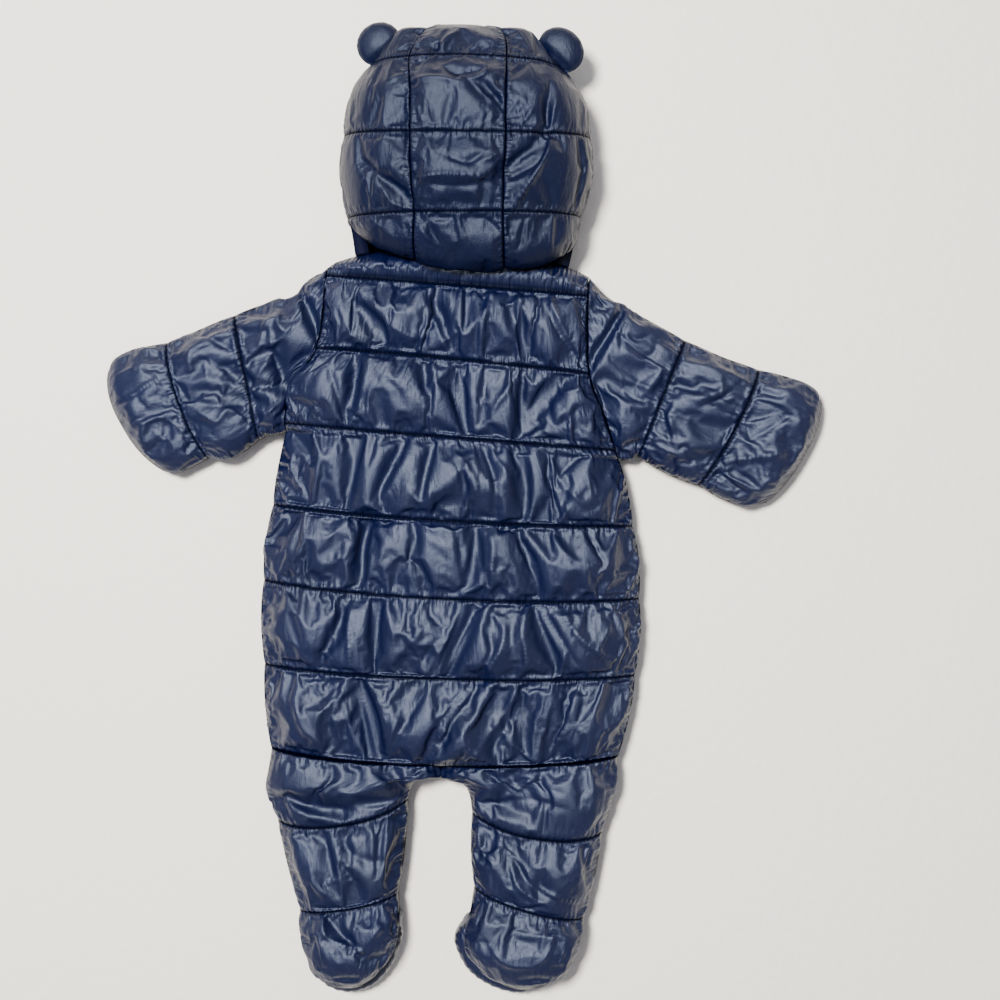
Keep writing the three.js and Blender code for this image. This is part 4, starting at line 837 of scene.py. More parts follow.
def settle(piece: bpy.types.Object, patch: Patch, gather: Gather) -> None:
    """Lets the cloth swell and crumple between its stitch lines, by Blender's cloth simulation.

    Args:
        piece: The piece, still a bare grid.
        patch: Its cloth. Its points become the settled ones.
        gather: How full the cloth is.
    """
    sewn = piece.vertex_groups.new(name="sewn")
    sewn.add([int(i) for i in np.nonzero(patch.sewn)[0]], 1.0, "REPLACE")
    cloth = piece.modifiers.new("padding", "CLOTH")
    settings = cloth.settings
    settings.quality = gather.steps
    settings.mass = 0.3
    settings.tension_stiffness = settings.compression_stiffness = 15
    settings.shear_stiffness = 5
    settings.bending_stiffness = gather.bend
    settings.vertex_group_mass = sewn.name
    settings.shrink_min = -gather.fuller
    settings.use_pressure = True
    settings.uniform_pressure_force = gather.pressure
    settings.effector_weights.gravity = 0
    cloth.collision_settings.use_collision = False
    cloth.collision_settings.use_self_collision = False
    cloth.point_cache.frame_start = 1
    cloth.point_cache.frame_end = gather.frames
    for step in range(1, gather.frames + 1):
        bpy.context.scene.frame_set(step)
    swollen = piece.evaluated_get(bpy.context.evaluated_depsgraph_get())
    moved = read_points(swollen.data) / MM - patch.points
    far = np.linalg.norm(moved, axis=1, keepdims=True)
    patch.points = patch.points + moved * np.minimum(1, gather.reach / np.maximum(far, 1e-9))
    piece.modifiers.remove(cloth)
    bpy.context.scene.frame_set(1)


def make_cloth(
    name: str, cut: Cut, surface: Surface, gather: Gather, lowest: float, seed: int
) -> tuple[bpy.types.Object, Patch]:
    """Makes a sheet of padded cloth: folded, swollen by a simulation on a coarse grid, then puckered on a fine one.

    Args:
        name: The object's name.
        cut: The coarse grid's layout.
        surface: The shape that the cloth is sewn to.
        gather: How full the cloth is.
        lowest: The lowest height that a point between the stitch lines may have, in millimetres.
        seed: A number that makes this piece's creases its own.

    Returns:
        The object, and its cloth as arrays.
    """
    draft, rough = lay_out(f"{name}_draft", cut, surface)
    bare = rough.points
    rough.points = bare + point_normals(draft.data) * long_folds(rough, gather, seed)[:, None]
    write_points(draft.data, rough.points * MM)
    settle(draft, rough, gather)
    moved = doubled(in_grid(rough, rough.points - bare))
    remove(draft)
    piece, patch = lay_out(name, cut.finer(), surface)
    shift = moved.reshape(-1, 3)[patch.place]
    shift[:, :2] *= smooth(patch.to_line / gather.held)[:, None]
    plan = patch.points - PLAN_SHIFT
    patch.points = patch.points + shift
    write_points(piece.data, patch.points * MM)
    creased = crease_height(gather.creases, plan[:, 0], plan[:, 1])
    creased *= smooth(patch.to_line / 6) * smooth(patch.to_side / 6)
    patch.points = patch.points + point_normals(piece.data) * (creased + small_puckers(patch, gather))[:, None]
    free = ~patch.sewn
    patch.points[free, 2] = np.maximum(patch.points[free, 2], lowest)
    write_points(piece.data, patch.points * MM)
    return piece, patch


def mark_seams(piece: bpy.types.Object, patch: Patch) -> None:
    """Keeps each point's place on the cloth and its distances to the seams in metres, for the cloth's material."""
    lengths = np.concatenate([[0], np.cumsum(patch.cut.lengths)])
    store(piece, "run", patch.share * patch.cut.width * MM)
    store(piece, "along", np.interp(patch.v, patch.cut.breaks, lengths) * MM)
    store(piece, "line_distance", patch.to_line * MM)
    store(piece, "side_distance", patch.to_side * MM)
    # the upward share of each normal, for the crease relief and for the painted shade on steep slopes
    store(piece, "level", np.abs(point_normals(piece.data)[:, 2]))


def store(piece: bpy.types.Object, name: str, values: np.ndarray) -> None:
    """Keeps a number for each point of a mesh, for its material."""
    attribute = piece.data.attributes.new(name, "FLOAT", "POINT")
    attribute.data.foreach_set("value", np.ascontiguousarray(values, np.float32))


def boundary(made: bmesh.types.BMesh) -> list[bmesh.types.BMEdge]:
    """The open edges of a mesh."""
    return [edge for edge in made.edges if edge.is_boundary]


def close_on_plane(piece: bpy.types.Object, height: float) -> None:
    """Makes a sheet a closed pad, with sides that run straight to a flat inner face.

    Args:
        piece: The sheet.
        height: The inner face's height, in millimetres.
    """
    with editing(piece.data) as made:
        sides = bmesh.ops.extrude_edge_only(made, edges=boundary(made))
        for vert in (item for item in sides["geom"] if isinstance(item, bmesh.types.BMVert)):
            vert.co.z = height * MM
        bmesh.ops.edgeloop_fill(made, edges=boundary(made))
        bmesh.ops.recalc_face_normals(made, faces=made.faces)


def close_with(piece: bpy.types.Object, inner: Points) -> None:
    """Makes a sheet a closed wall with the given plain points as its inner face.

    Args:
        piece: The sheet.
        inner: A place in metres for each of its points.
    """
    with editing(piece.data) as made:
        outer_rim = boundary(made)
        made.verts.index_update()
        copy = bmesh.ops.duplicate(made, geom=made.verts[:] + made.edges[:] + made.faces[:])
        for vert, twin in copy["vert_map"].items():
            if twin.index == -1 or twin.index >= len(inner):
                twin.co = Vector(inner[vert.index])
        inner_rim = [copy["edge_map"][edge] for edge in outer_rim]
        bmesh.ops.bridge_loops(made, edges=outer_rim + inner_rim)
        bmesh.ops.recalc_face_normals(made, faces=made.faces)


def shade_smooth(piece: bpy.types.Object) -> None:
    """Shades a piece's faces smoothly."""
    piece.data.polygons.foreach_set("use_smooth", np.ones(len(piece.data.polygons), bool))
    piece.data.update()


def finish_piece(
    piece: bpy.types.Object, material: bpy.types.Material, nodes: Sequence[str], body: str = BODY
) -> None:
    """Gives a finished piece its material and puts it in the frame.

    Args:
        piece: The piece.
        material: Its material.
        nodes: The solids that it stands for.
        body: The body it moves with.
    """
    piece.data.materials.append(material)
    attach(piece, body)
    if nodes:
        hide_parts(*nodes)
    shade_smooth(piece)
    log.info("%s: %d points, %d faces", piece.name, len(piece.data.vertices), len(piece.data.polygons))


def shades(colour: Colour, *parts: float) -> list[Colour]:
    """A colour made darker or lighter by each of the given factors."""
    return [tuple(c * part for c in colour[:3]) + (1,) for part in parts]


class Shading:
    """A material in the making, with the nodes that the finishes share."""

    def __init__(self, name: str) -> None:
        """Starts a material with a surface shader and the places on its object."""
        self.material = bpy.data.materials.new(name)
        self.material.use_nodes = True
        self.tree = self.material.node_tree
        self.place = self.add("TexCoord", {}).outputs["Object"]

    def feed(self, node: bpy.types.Node, inputs: dict[str | int, Socket | float | Colour]) -> None:
        """Links the inputs that come from other nodes, and sets the plain ones."""
        for name, value in inputs.items():
            if isinstance(value, Socket):
                self.tree.links.new(value, node.inputs[name])
            else:
                node.inputs[name].default_value = value

    def add(self, kind: str, inputs: dict[str | int, Socket | float | Colour]) -> bpy.types.Node:
        """Adds a node of the given kind."""
        node = self.tree.nodes.new(f"ShaderNode{kind}")
        self.feed(node, inputs)
        return node

    def dress(self, inputs: dict[str | int, Socket | float | Colour]) -> bpy.types.Material:
        """Feeds the surface shader, and gives the finished material."""
        self.feed(self.tree.nodes["Principled BSDF"], inputs)
        return self.material

    def noise(self, vector: Socket, scale: float, detail: float, warp: float = 0.0) -> Socket:
        """A noise on the given places."""
        node = self.add("TexNoise", {"Vector": vector, "Scale": scale, "Detail": detail, "Distortion": warp})
        return node.outputs["Fac"]

    def attribute(self, name: str) -> Socket:
        """One of the cloth's own numbers."""
        node = self.add("Attribute", {})
        node.attribute_name = name
        return node.outputs["Fac"]

    def on_cloth(self, across: float, along: float) -> Socket:
        """Places on the cloth itself, in steps of the given number in a metre across and along."""
        x = self.math("MULTIPLY", self.attribute("run"), across)
        y = self.math("MULTIPLY", self.attribute("along"), along)
        return self.add("CombineXYZ", {"X": x, "Y": y}).outputs["Vector"]

    def math(self, kind: str, a: Socket, b: Socket | float) -> Socket:
        """A sum on two values."""
        node = self.add("Math", {0: a, 1: b})
        node.operation = kind
        return node.outputs["Value"]

    def fade(self, name: str, reach: float) -> Socket:
        """1 at a seam, falling softly to 0 at the given distance."""
        ramp = {"Value": self.attribute(name), "From Max": reach, "To Min": 1.0, "To Max": 0.0}
        node = self.add("MapRange", ramp)
        node.interpolation_type = "SMOOTHSTEP"
        return node.outputs["Result"]

    def blend(self, factor: Socket, start: Socket | Colour, end: Socket | Colour) -> Socket:
        """A colour between two."""
        node = self.add("Mix", {})
        node.data_type = "RGBA"
        self.feed(node, {"Factor": factor, "A": start, "B": end})
        return node.outputs["Result"]

    def bump(self, height: Socket, distance: float, strength: float, below: Socket | None = None) -> Socket:
        """A relief, on the relief below it where there is one."""
        node = self.add("Bump", {"Strength": strength, "Distance": distance, "Height": height})
        if below is not None:
            self.feed(node, {"Normal": below})
        return node.outputs["Normal"]


@dataclass(frozen=True)
class PlainFinish:
    """A plain dark finish with a fine grain, for the binding, thread, tape, plastic and metal."""

    name: str
    colour: Colour
    roughness: float
    metallic: float = 0.0
    sheen: float = 0.0
    specular: float = 0.5
    grain_size: float = 900.0
    grain: float = 0.00015  # height of the grain in metres
    relief: float = 0.4  # how strongly the grain shows

    def make(self) -> bpy.types.Material:
        """Builds the material."""
        shading = Shading(self.name)
        grain = shading.noise(shading.place, self.grain_size, 3)
        return shading.dress({
            "Base Color": shading.blend(grain, *shades(self.colour, 0.7, 1.3)),
            "Roughness": self.roughness,
            "Metallic": self.metallic,
            "Sheen Weight": self.sheen,
            "Specular IOR Level": self.specular,
            "Normal": shading.bump(grain, self.grain, self.relief),
        })  # fmt: skip


@dataclass(frozen=True)
class GlossyNylon:
    """Thin glossy woven nylon over padding, puckered where it is sewn, with painted shade beside its seams and on
    its steep slopes.
    """

    name: str = "quilted_nylon"
    colour: Colour = (0.0015, 0.0033, 0.025, 1)
    # painted shade: the cloth's colour darkened beside its stitch lines and seams, standing for the shade in their
    # grooves
    groove_shade_colour: Colour = (0.0006, 0.0012, 0.007, 1)
    roughness: tuple[float, float] = (0.29, 0.42)
    specular: float = 1.0
    tint: Colour = (0.76, 0.86, 1.0, 1)
    steep: float = 0.9  # painted shade: a slope with a smaller upward share of its normal has less gloss, so steep sides read dark
    groove_shade_width: float = 0.0022  # how far the painted shade beside a stitch line runs, in metres
    # how far the painted shade beside a side seam runs, in metres
    side_shade_width: float = 0.0009
    gather_reach: float = 0.0075  # how far gathers run from a stitch line, in metres
    gather_height: float = 0.0024
    crease_height: float = 0.0012
    grain_height: float = 0.00028
    relief: float = 0.8  # how strongly all these show

    def make(self) -> bpy.types.Material:
        """Builds the material."""
        shading = Shading(self.name)
        # painted shade beside the stitch lines and side seams: a darker colour and less gloss
        line_shade_mask = shading.fade("line_distance", self.groove_shade_width)
        side_shade_mask = shading.fade("side_distance", self.side_shade_width)
        near = shading.math("MAXIMUM", line_shade_mask, side_shade_mask)
        cloudy = shading.noise(shading.place, 30, 3)
        shade = shading.blend(cloudy, *shades(self.colour, 0.75, 1.25))
        return shading.dress({
            "Base Color": shading.blend(near, shade, self.groove_shade_colour),
            "Specular IOR Level": self.gloss(shading, near),
            "Specular Tint": self.tint,
            "Roughness": self.wear(shading),
            "Normal": self.wrinkles(shading),
        })  # fmt: skip

    def gloss(self, shading: Shading, near: Socket) -> Socket:
        """The cloth's gloss, cut as painted shade beside its seams and on steep slopes."""
        painted_shade = shading.math("MAXIMUM", near, shading.fade("level", self.steep))
        return shading.math("ADD", shading.math("MULTIPLY", painted_shade, -self.specular), self.specular)

    def wear(self, shading: Shading) -> Socket:
        """The cloth's roughness, which varies a little from place to place."""
        low, high = self.roughness
        ramp = {"Value": shading.noise(shading.place, 420, 4), "From Min": 0.3, "From Max": 0.7}
        return shading.add("MapRange", {**ramp, "To Min": low, "To Max": high}).outputs["Result"]

    def wrinkles(self, shading: Shading) -> Socket:
        """The cloth's grain, its creases, and the gathers beside its stitch lines and side seams."""
        normal = shading.bump(shading.noise(shading.place, 1300, 2), self.grain_height, self.relief)
        crease = shading.math("ADD", shading.noise(shading.on_cloth(105, 42), 1, 2, 0.9), -0.5)
        crease = shading.math("MULTIPLY", crease, shading.attribute("level"))
        normal = shading.bump(crease, self.crease_height, self.relief, normal)
        for scale, distance in (((360, 60), "line_distance"), ((60, 360), "side_distance")):
            fold = shading.noise(shading.on_cloth(*scale), 1, 2, 0.3)
            lift = shading.math("MULTIPLY", fold, shading.fade(distance, self.gather_reach))
            normal = shading.bump(lift, self.gather_height, self.relief, normal)
        return normal


class BackPanel:
    """The back of the body, in seven padded channels."""

    cut = Cut((0, 1), (0, 1, 2, 3, 4, 5, 6, 7), (14, 54, 54, 55, 54, 58, 60), 262, 2.2)
    gather = Gather(creases=BODY_CREASES)

    def surface(self, u: np.ndarray, v: np.ndarray) -> Points:
        """The back before it swells."""
        x, y = body_plan(u, v)
        side = np.where(v < ARMHOLE_END, mix(SEAM_HEIGHT, ARMHOLE_CROWN, arch(v / ARMHOLE_END)), SEAM_HEIGHT)
        inward = arch(u)
        swell = BACK_DRAFT_PUFF * BODY_PUFF * puff(v) * np.where(v < 1, NECK_PUFF, 1)
        height = mix(side, column(BODY_LINES, v, lambda r: r.crown), inward)
        height = height + (swell - fold_depth(BODY_FOLDS, x, y)) * full_arch(u)
        bulge = np.where(v > ARMHOLE_END, BODY_BULGE * puff(v) * (1 - 2 * u) ** 9, 0)
        inset = SEAM_GAP / 2 * ((u == 0).astype(float) - (u == 1))
        return np.stack([x + inset - bulge, y, np.maximum(height, SEAM_HEIGHT + HEM)], axis=1)

    def build(self, cloth: bpy.types.Material, stitching: "Stitching") -> None:
        """Makes and dresses the panel."""
        piece, patch = make_cloth("back", self.cut, self.surface, self.gather, SEAM_HEIGHT + 1, seed=1)
        stitching.sew(patch, self.cut.breaks[1:-1])
        mark_seams(piece, patch)
        close_on_plane(piece, SEAM_HEIGHT + LAYER_GAP / 2)
        finish_piece(piece, cloth, ["back_panel"])


@dataclass
class FrontPanel:
    """One front of the body, which lies on the surface beside the zip."""

    side: Side
    zip_edge: float = 6
    roundover: float = 15
    gather: Gather = Gather(pucker=0.5)

    def surface(self, t: np.ndarray, v: np.ndarray) -> Points:
        """The outer face, t from the side seam to the zip."""
        sign = self.side.sign
        u = t / 2 if self.side is Side.LEFT else 1 - t / 2
        side_x, _ = body_plan(np.full_like(v, 0 if self.side is Side.LEFT else 1), v)
        _, y = body_plan(u, v)
        edge = zip_x(y) + sign * ZIP_GAP / 2
        bulge = np.where(v > ARMHOLE_END, BODY_BULGE * puff(v) * (1 - t) ** 9, 0)
        x = mix(side_x + sign * (bulge - SEAM_GAP / 2), edge, t)
        near_zip = smooth(1 - np.abs(x - edge) / self.roundover) ** 2
        near_arm = np.where(v < ARMHOLE_END, flat_arch(v / ARMHOLE_END), 0)
        down = mix(near_arm, 1, flat_arch(t / 2)) * np.minimum(1, v * 2.4 + 0.45)
        height = SEAM_HEIGHT * (1 - down) + (UNDER_GROOVE * groove(v) + self.zip_edge * near_zip) * down
        return np.stack([x, y, np.minimum(height, SEAM_HEIGHT - HEM)], axis=1)

    def build(self, cloth: bpy.types.Material, stitching: "Stitching") -> None:
        """Makes and dresses the front."""
        cut = replace(BackPanel.cut, width=131, cell=2.6, round_sides=0.4)
        piece, patch = lay_out(f"front_{self.side.value}_padded", cut, self.surface)
        rest_on_surface(patch, self.gather)
        write_points(piece.data, patch.points * MM)
        stitching.sew(patch, cut.breaks[1:-1], under=True)
        mark_seams(piece, patch)
        close_on_plane(piece, SEAM_HEIGHT - LAYER_GAP / 2)
        finish_piece(piece, cloth, [f"front_{self.side.value}"])


def rest_on_surface(patch: Patch, gather: Gather) -> None:
    """Puckers an underside where it lifts off the surface that it lies on."""
    height = patch.points[:, 2]
    lifted = smooth((height - 0.3) / 3) * ~patch.sewn
    patch.points[:, 2] = np.maximum(0, height - small_puckers(patch, gather) * lifted)


@dataclass(frozen=True)
class Tube:
    """A flattened tube of padded cloth, such as a sleeve or a leg, between its rows."""

    lines: Sequence[Line]
    swell: float
    folds: Sequence[Fold]
    seam_ends: tuple[float, float]  # of the body's seam that it hangs from: across, or at one side
    on_armhole: bool
    outward: tuple[float, float]
    bow_sign: int

    def seam_plan(self, u: np.ndarray) -> tuple[np.ndarray, np.ndarray]:
        """The seam that the tube hangs from, in plan."""
        start, end = self.seam_ends
        if self.on_armhole:
            return body_plan(np.full_like(u, start), u * ARMHOLE_END)
        return body_plan(mix(start, end, u), np.full_like(u, 7))

    def plan(self, u: np.ndarray, v: np.ndarray) -> tuple[np.ndarray, np.ndarray]:
        """The tube in plan."""
        x0, y0, x1, y1 = row_ends(self.lines, v)
        length = np.hypot(x1 - x0, y1 - y0)
        sx, sy = self.seam_plan(u)
        ax, ay = self.seam_plan(np.zeros_like(u))
        bx, by = self.seam_plan(np.ones_like(u))
        fade = np.where(v < 1, (1 - v) ** 2, 0)
        bulge = TUBE_BULGE * puff(v) * smooth(2 * v) * (2 * u - 1) ** 9 / length
        reach = column(self.lines, v, lambda r: r.bow) * bow_shape(u) * self.bow_sign + SEAM_GAP * (v == 0)
        x = mix(x0, x1, u + bulge) + (sx - mix(ax, bx, u)) * fade + reach * self.outward[0]
        y = mix(y0, y1, u + bulge) + (sy - mix(ay, by, u)) * fade + reach * self.outward[1]
        return x, y

    def upper(self, u: np.ndarray, v: np.ndarray) -> Points:
        """The upper layer before it swells."""
        x, y = self.plan(u, v)
        side = column(self.lines, v, lambda r: r.seam)
        high = mix(side, column(self.lines, v, lambda r: r.crown), arch(u))
        high = high + self.swell * puff(v) * full_arch(u)
        high = high - fold_depth(self.folds, x, y) * arch(u)
        return np.stack([x, y, np.maximum(high, side + HEM / 2)], axis=1)

    def lower(self, u: np.ndarray, v: np.ndarray) -> Points:
        """The layer that lies on the surface."""
        x, y = self.plan(u, v)
        side = column(self.lines, v, lambda r: r.seam)
        under = np.maximum(0, column(self.lines, v, lambda r: r.under))
        low = under + UNDER_GROOVE * groove(v) * (under <= 1)
        return np.stack([x, y, mix(side - HEM / 2, low, flat_arch(u))], axis=1)


def join_layers(piece: bpy.types.Object, lower: bpy.types.Object, into: Vector | None) -> None:
    """Sews an upper and a lower layer together all round, with an open mouth at the last row where asked.

    Args:
        piece: The upper layer, which becomes the whole.
        lower: The lower layer, which is used up. Its grid has the same edges.
        into: From the mouth into the tube, in metres, or None for a tube that is closed.
    """
    with editing(piece.data) as made:
        upper_rim = boundary(made)
        count = len(made.verts)
        made.from_mesh(lower.data)
        made.verts.ensure_lookup_table()
        below = set(made.verts[count:])
        lower_rim = [edge for edge in boundary(made) if edge.verts[0] in below]
        sides = bmesh.ops.bridge_loops(made, edges=upper_rim + lower_rim)
        bmesh.ops.recalc_face_normals(made, faces=made.faces)
        if into is not None:
            layer = made.verts.layers.float.get("mouth")
            lips = [face for face in sides["faces"] if all(vert[layer] > 0.5 for vert in face.verts)]
            bmesh.ops.inset_region(made, faces=lips, thickness=0.7 * MM, use_even_offset=True)
            deep = bmesh.ops.extrude_face_region(made, geom=lips)
            bmesh.ops.delete(made, geom=lips, context="FACES_ONLY")
            moved = [item for item in deep["geom"] if isinstance(item, bmesh.types.BMVert)]
            bmesh.ops.translate(made, vec=into, verts=moved)
    remove(lower)


def build_tube(
    name: str, tube: Tube, cut: Cut, gather: Gather, seed: int, into: Vector | None, stitching: "Stitching"
) -> bpy.types.Object:
    """Makes a sleeve or leg from its two layers.

    Args:
        name: The piece's name.
        tube: Its shape.
        cut: The coarse grid of its layers.
        gather: How full its upper layer is.
        seed: A number that makes its creases its own.
        into: The way into its open end, or None where it is closed.
        stitching: Takes its stitch lines.

    Returns:
        The piece.
    """
    piece, patch = make_cloth(name, cut, tube.upper, gather, SEAM_HEIGHT - 4, seed)
    lower, under = lay_out(f"{name}_lower", cut.finer(), tube.lower)
    rest_on_surface(under, gather)
    write_points(lower.data, under.points * MM)
    for layer, cloth in ((piece, patch), (lower, under)):
        mark_seams(layer, cloth)
        store(layer, "mouth", (cloth.v > cut.breaks[-1] - 1e-6).astype(float))
    stitching.sew(patch, cut.breaks[1:-1])
    stitching.sew(under, cut.breaks[1:-1], under=True)
    join_layers(piece, lower, into)
    return piece


@dataclass
class Sleeve:
    """A sleeve with two stitch lines round it and an open cuff."""

    side: Side
    gather: Gather = Gather(fuller=0.06, fold_spacing=20, fold_height=0.8, creases=SLEEVE_CREASES)
    mouth_depth: float = 22

    def build(self, cloth: bpy.types.Material, stitching: "Stitching") -> None:
        """Makes and dresses the sleeve."""
        at = 0 if self.side is Side.LEFT else 1
        outward = (self.side.sign * 0.93, -0.37)
        tube = Tube(SLEEVE_LINES[self.side], DRAFT_PUFF * SLEEVE_PUFF, SLEEVE_FOLDS, (at, at), True, outward, 1)
        cut = Cut((0, 1), (0, 1, 2, 3), (62, 52, 46), 92, 2.2)
        into = Vector((-outward[0], -outward[1], 0)) * self.mouth_depth * MM
        name = f"sleeve_{self.side.value}_padded"
        piece = build_tube(name, tube, cut, self.gather, 3 + at, into, stitching)
        finish_piece(piece, cloth, [f"sleeve_{self.side.value}"])


@dataclass
class Leg:
    """A leg with two stitch lines round it, closed at the foot."""

    side: Side
    gather: Gather = Gather(fuller=0.05, fold_spacing=24, fold_height=0.6, creases=LEG_CREASES)

    def build(self, cloth: bpy.types.Material, stitching: "Stitching") -> None:
        """Makes and dresses the leg."""
        ends = (0, CROTCH) if self.side is Side.LEFT else (CROTCH, 1)
        tube = Tube(LEG_LINES[self.side], DRAFT_PUFF * LEG_PUFF, LEG_FOLDS, ends, False, (0, -1), -1)
        cut = Cut((0, 1), (0, 1, 2, 3), (46, 64, 60), 96, 2.2)
        name = f"leg_{self.side.value}_padded"
        seed = 6 if self.side is Side.LEFT else 7
        piece = build_tube(name, tube, cut, self.gather, seed, None, stitching)
        finish_piece(piece, cloth, [f"leg_{self.side.value}"])


def ring_solid(name: str, rings: np.ndarray, seam_distance: np.ndarray | None = None) -> bpy.types.Object:
    """Makes a closed solid from a stack of rings, with a small flat cap at each end.

    Args:
        name: The object's name.
        rings: Points in millimetres, ring by ring.
        seam_distance: Each point's distance to its nearest seam in millimetres, ring by ring.

    Returns:
        The object.
    """
    count, around = rings.shape[:2]
    mesh = grid_mesh(name, around, count - 1)
    square = read_points(mesh)
    i = np.round((square[:, 0] + 1) / 2 * around).astype(int) % around
    j = np.round((square[:, 1] + 1) / 2 * (count - 1)).astype(int)
    write_points(mesh, (rings[j, i] + PLAN_SHIFT) * MM)
    piece = add_object(name, mesh)
    if seam_distance is not None:
        store(piece, "run", rings[j, i, 0] * MM)
        store(piece, "along", rings[j, i, 1] * MM)
        store(piece, "line_distance", seam_distance[j, i] * MM)
        store(piece, "side_distance", np.ones(len(i)))
        store(piece, "level", np.ones(len(i)))
    with editing(mesh) as made:
        bmesh.ops.remove_doubles(made, verts=made.verts, dist=1e-7)
        bmesh.ops.edgeloop_fill(made, edges=boundary(made))
        bmesh.ops.recalc_face_normals(made, faces=made.faces)
    return piece


@dataclass
class Sole:
    """The sole of a foot, an oval pad that the foot stands on."""

    side: Side
    profile: tuple[tuple[float, float], ...] = (
        (0.2, 0), (0.55, 0), (0.8, 0.1), (0.9, 1.2), (0.965, 4), (0.992, 7), (1, 10),
        (0.995, 13.5), (0.975, 16.5), (0.94, 18.8), (0.88, 20.6), (0.78, 21.8), (0.6, 22.3), (0.2, 22.4),
    )  # fmt: skip
    count: int = 132
    heel: float = -298.0  # where the leg begins to lie over the pad

    def build(self, cloth: bpy.types.Material) -> None:
        """Makes and dresses the sole."""
        outline = smooth_loop(SOLE_OUTLINES[self.side], self.count)
        middle = outline.mean(axis=0)
        turn = np.arange(self.count)
        rings = []
        for scale, height in self.profile:
            sewn = np.exp(-(((height - 17) / 3) ** 2)) + 0.5 * np.exp(-(((height - 3) / 3) ** 2))
            wave = 0.012 * sewn * np.sin(2 * np.pi * turn / 4.4 + 2 * np.sin(turn / 7))
            plan = middle + (outline - middle) * (scale * (1 + wave))[:, None]
            low = np.clip((self.heel + 14 - plan[:, 1]) / 14, 0.2, 1)
            rings.append(np.column_stack([plan, height * low]))
        rings = np.array(rings)
        piece = ring_solid(f"sole_{self.side.value}_padded", rings, np.abs(rings[..., 2] - 17))
        finish_piece(piece, cloth, [f"sole_{self.side.value}"])


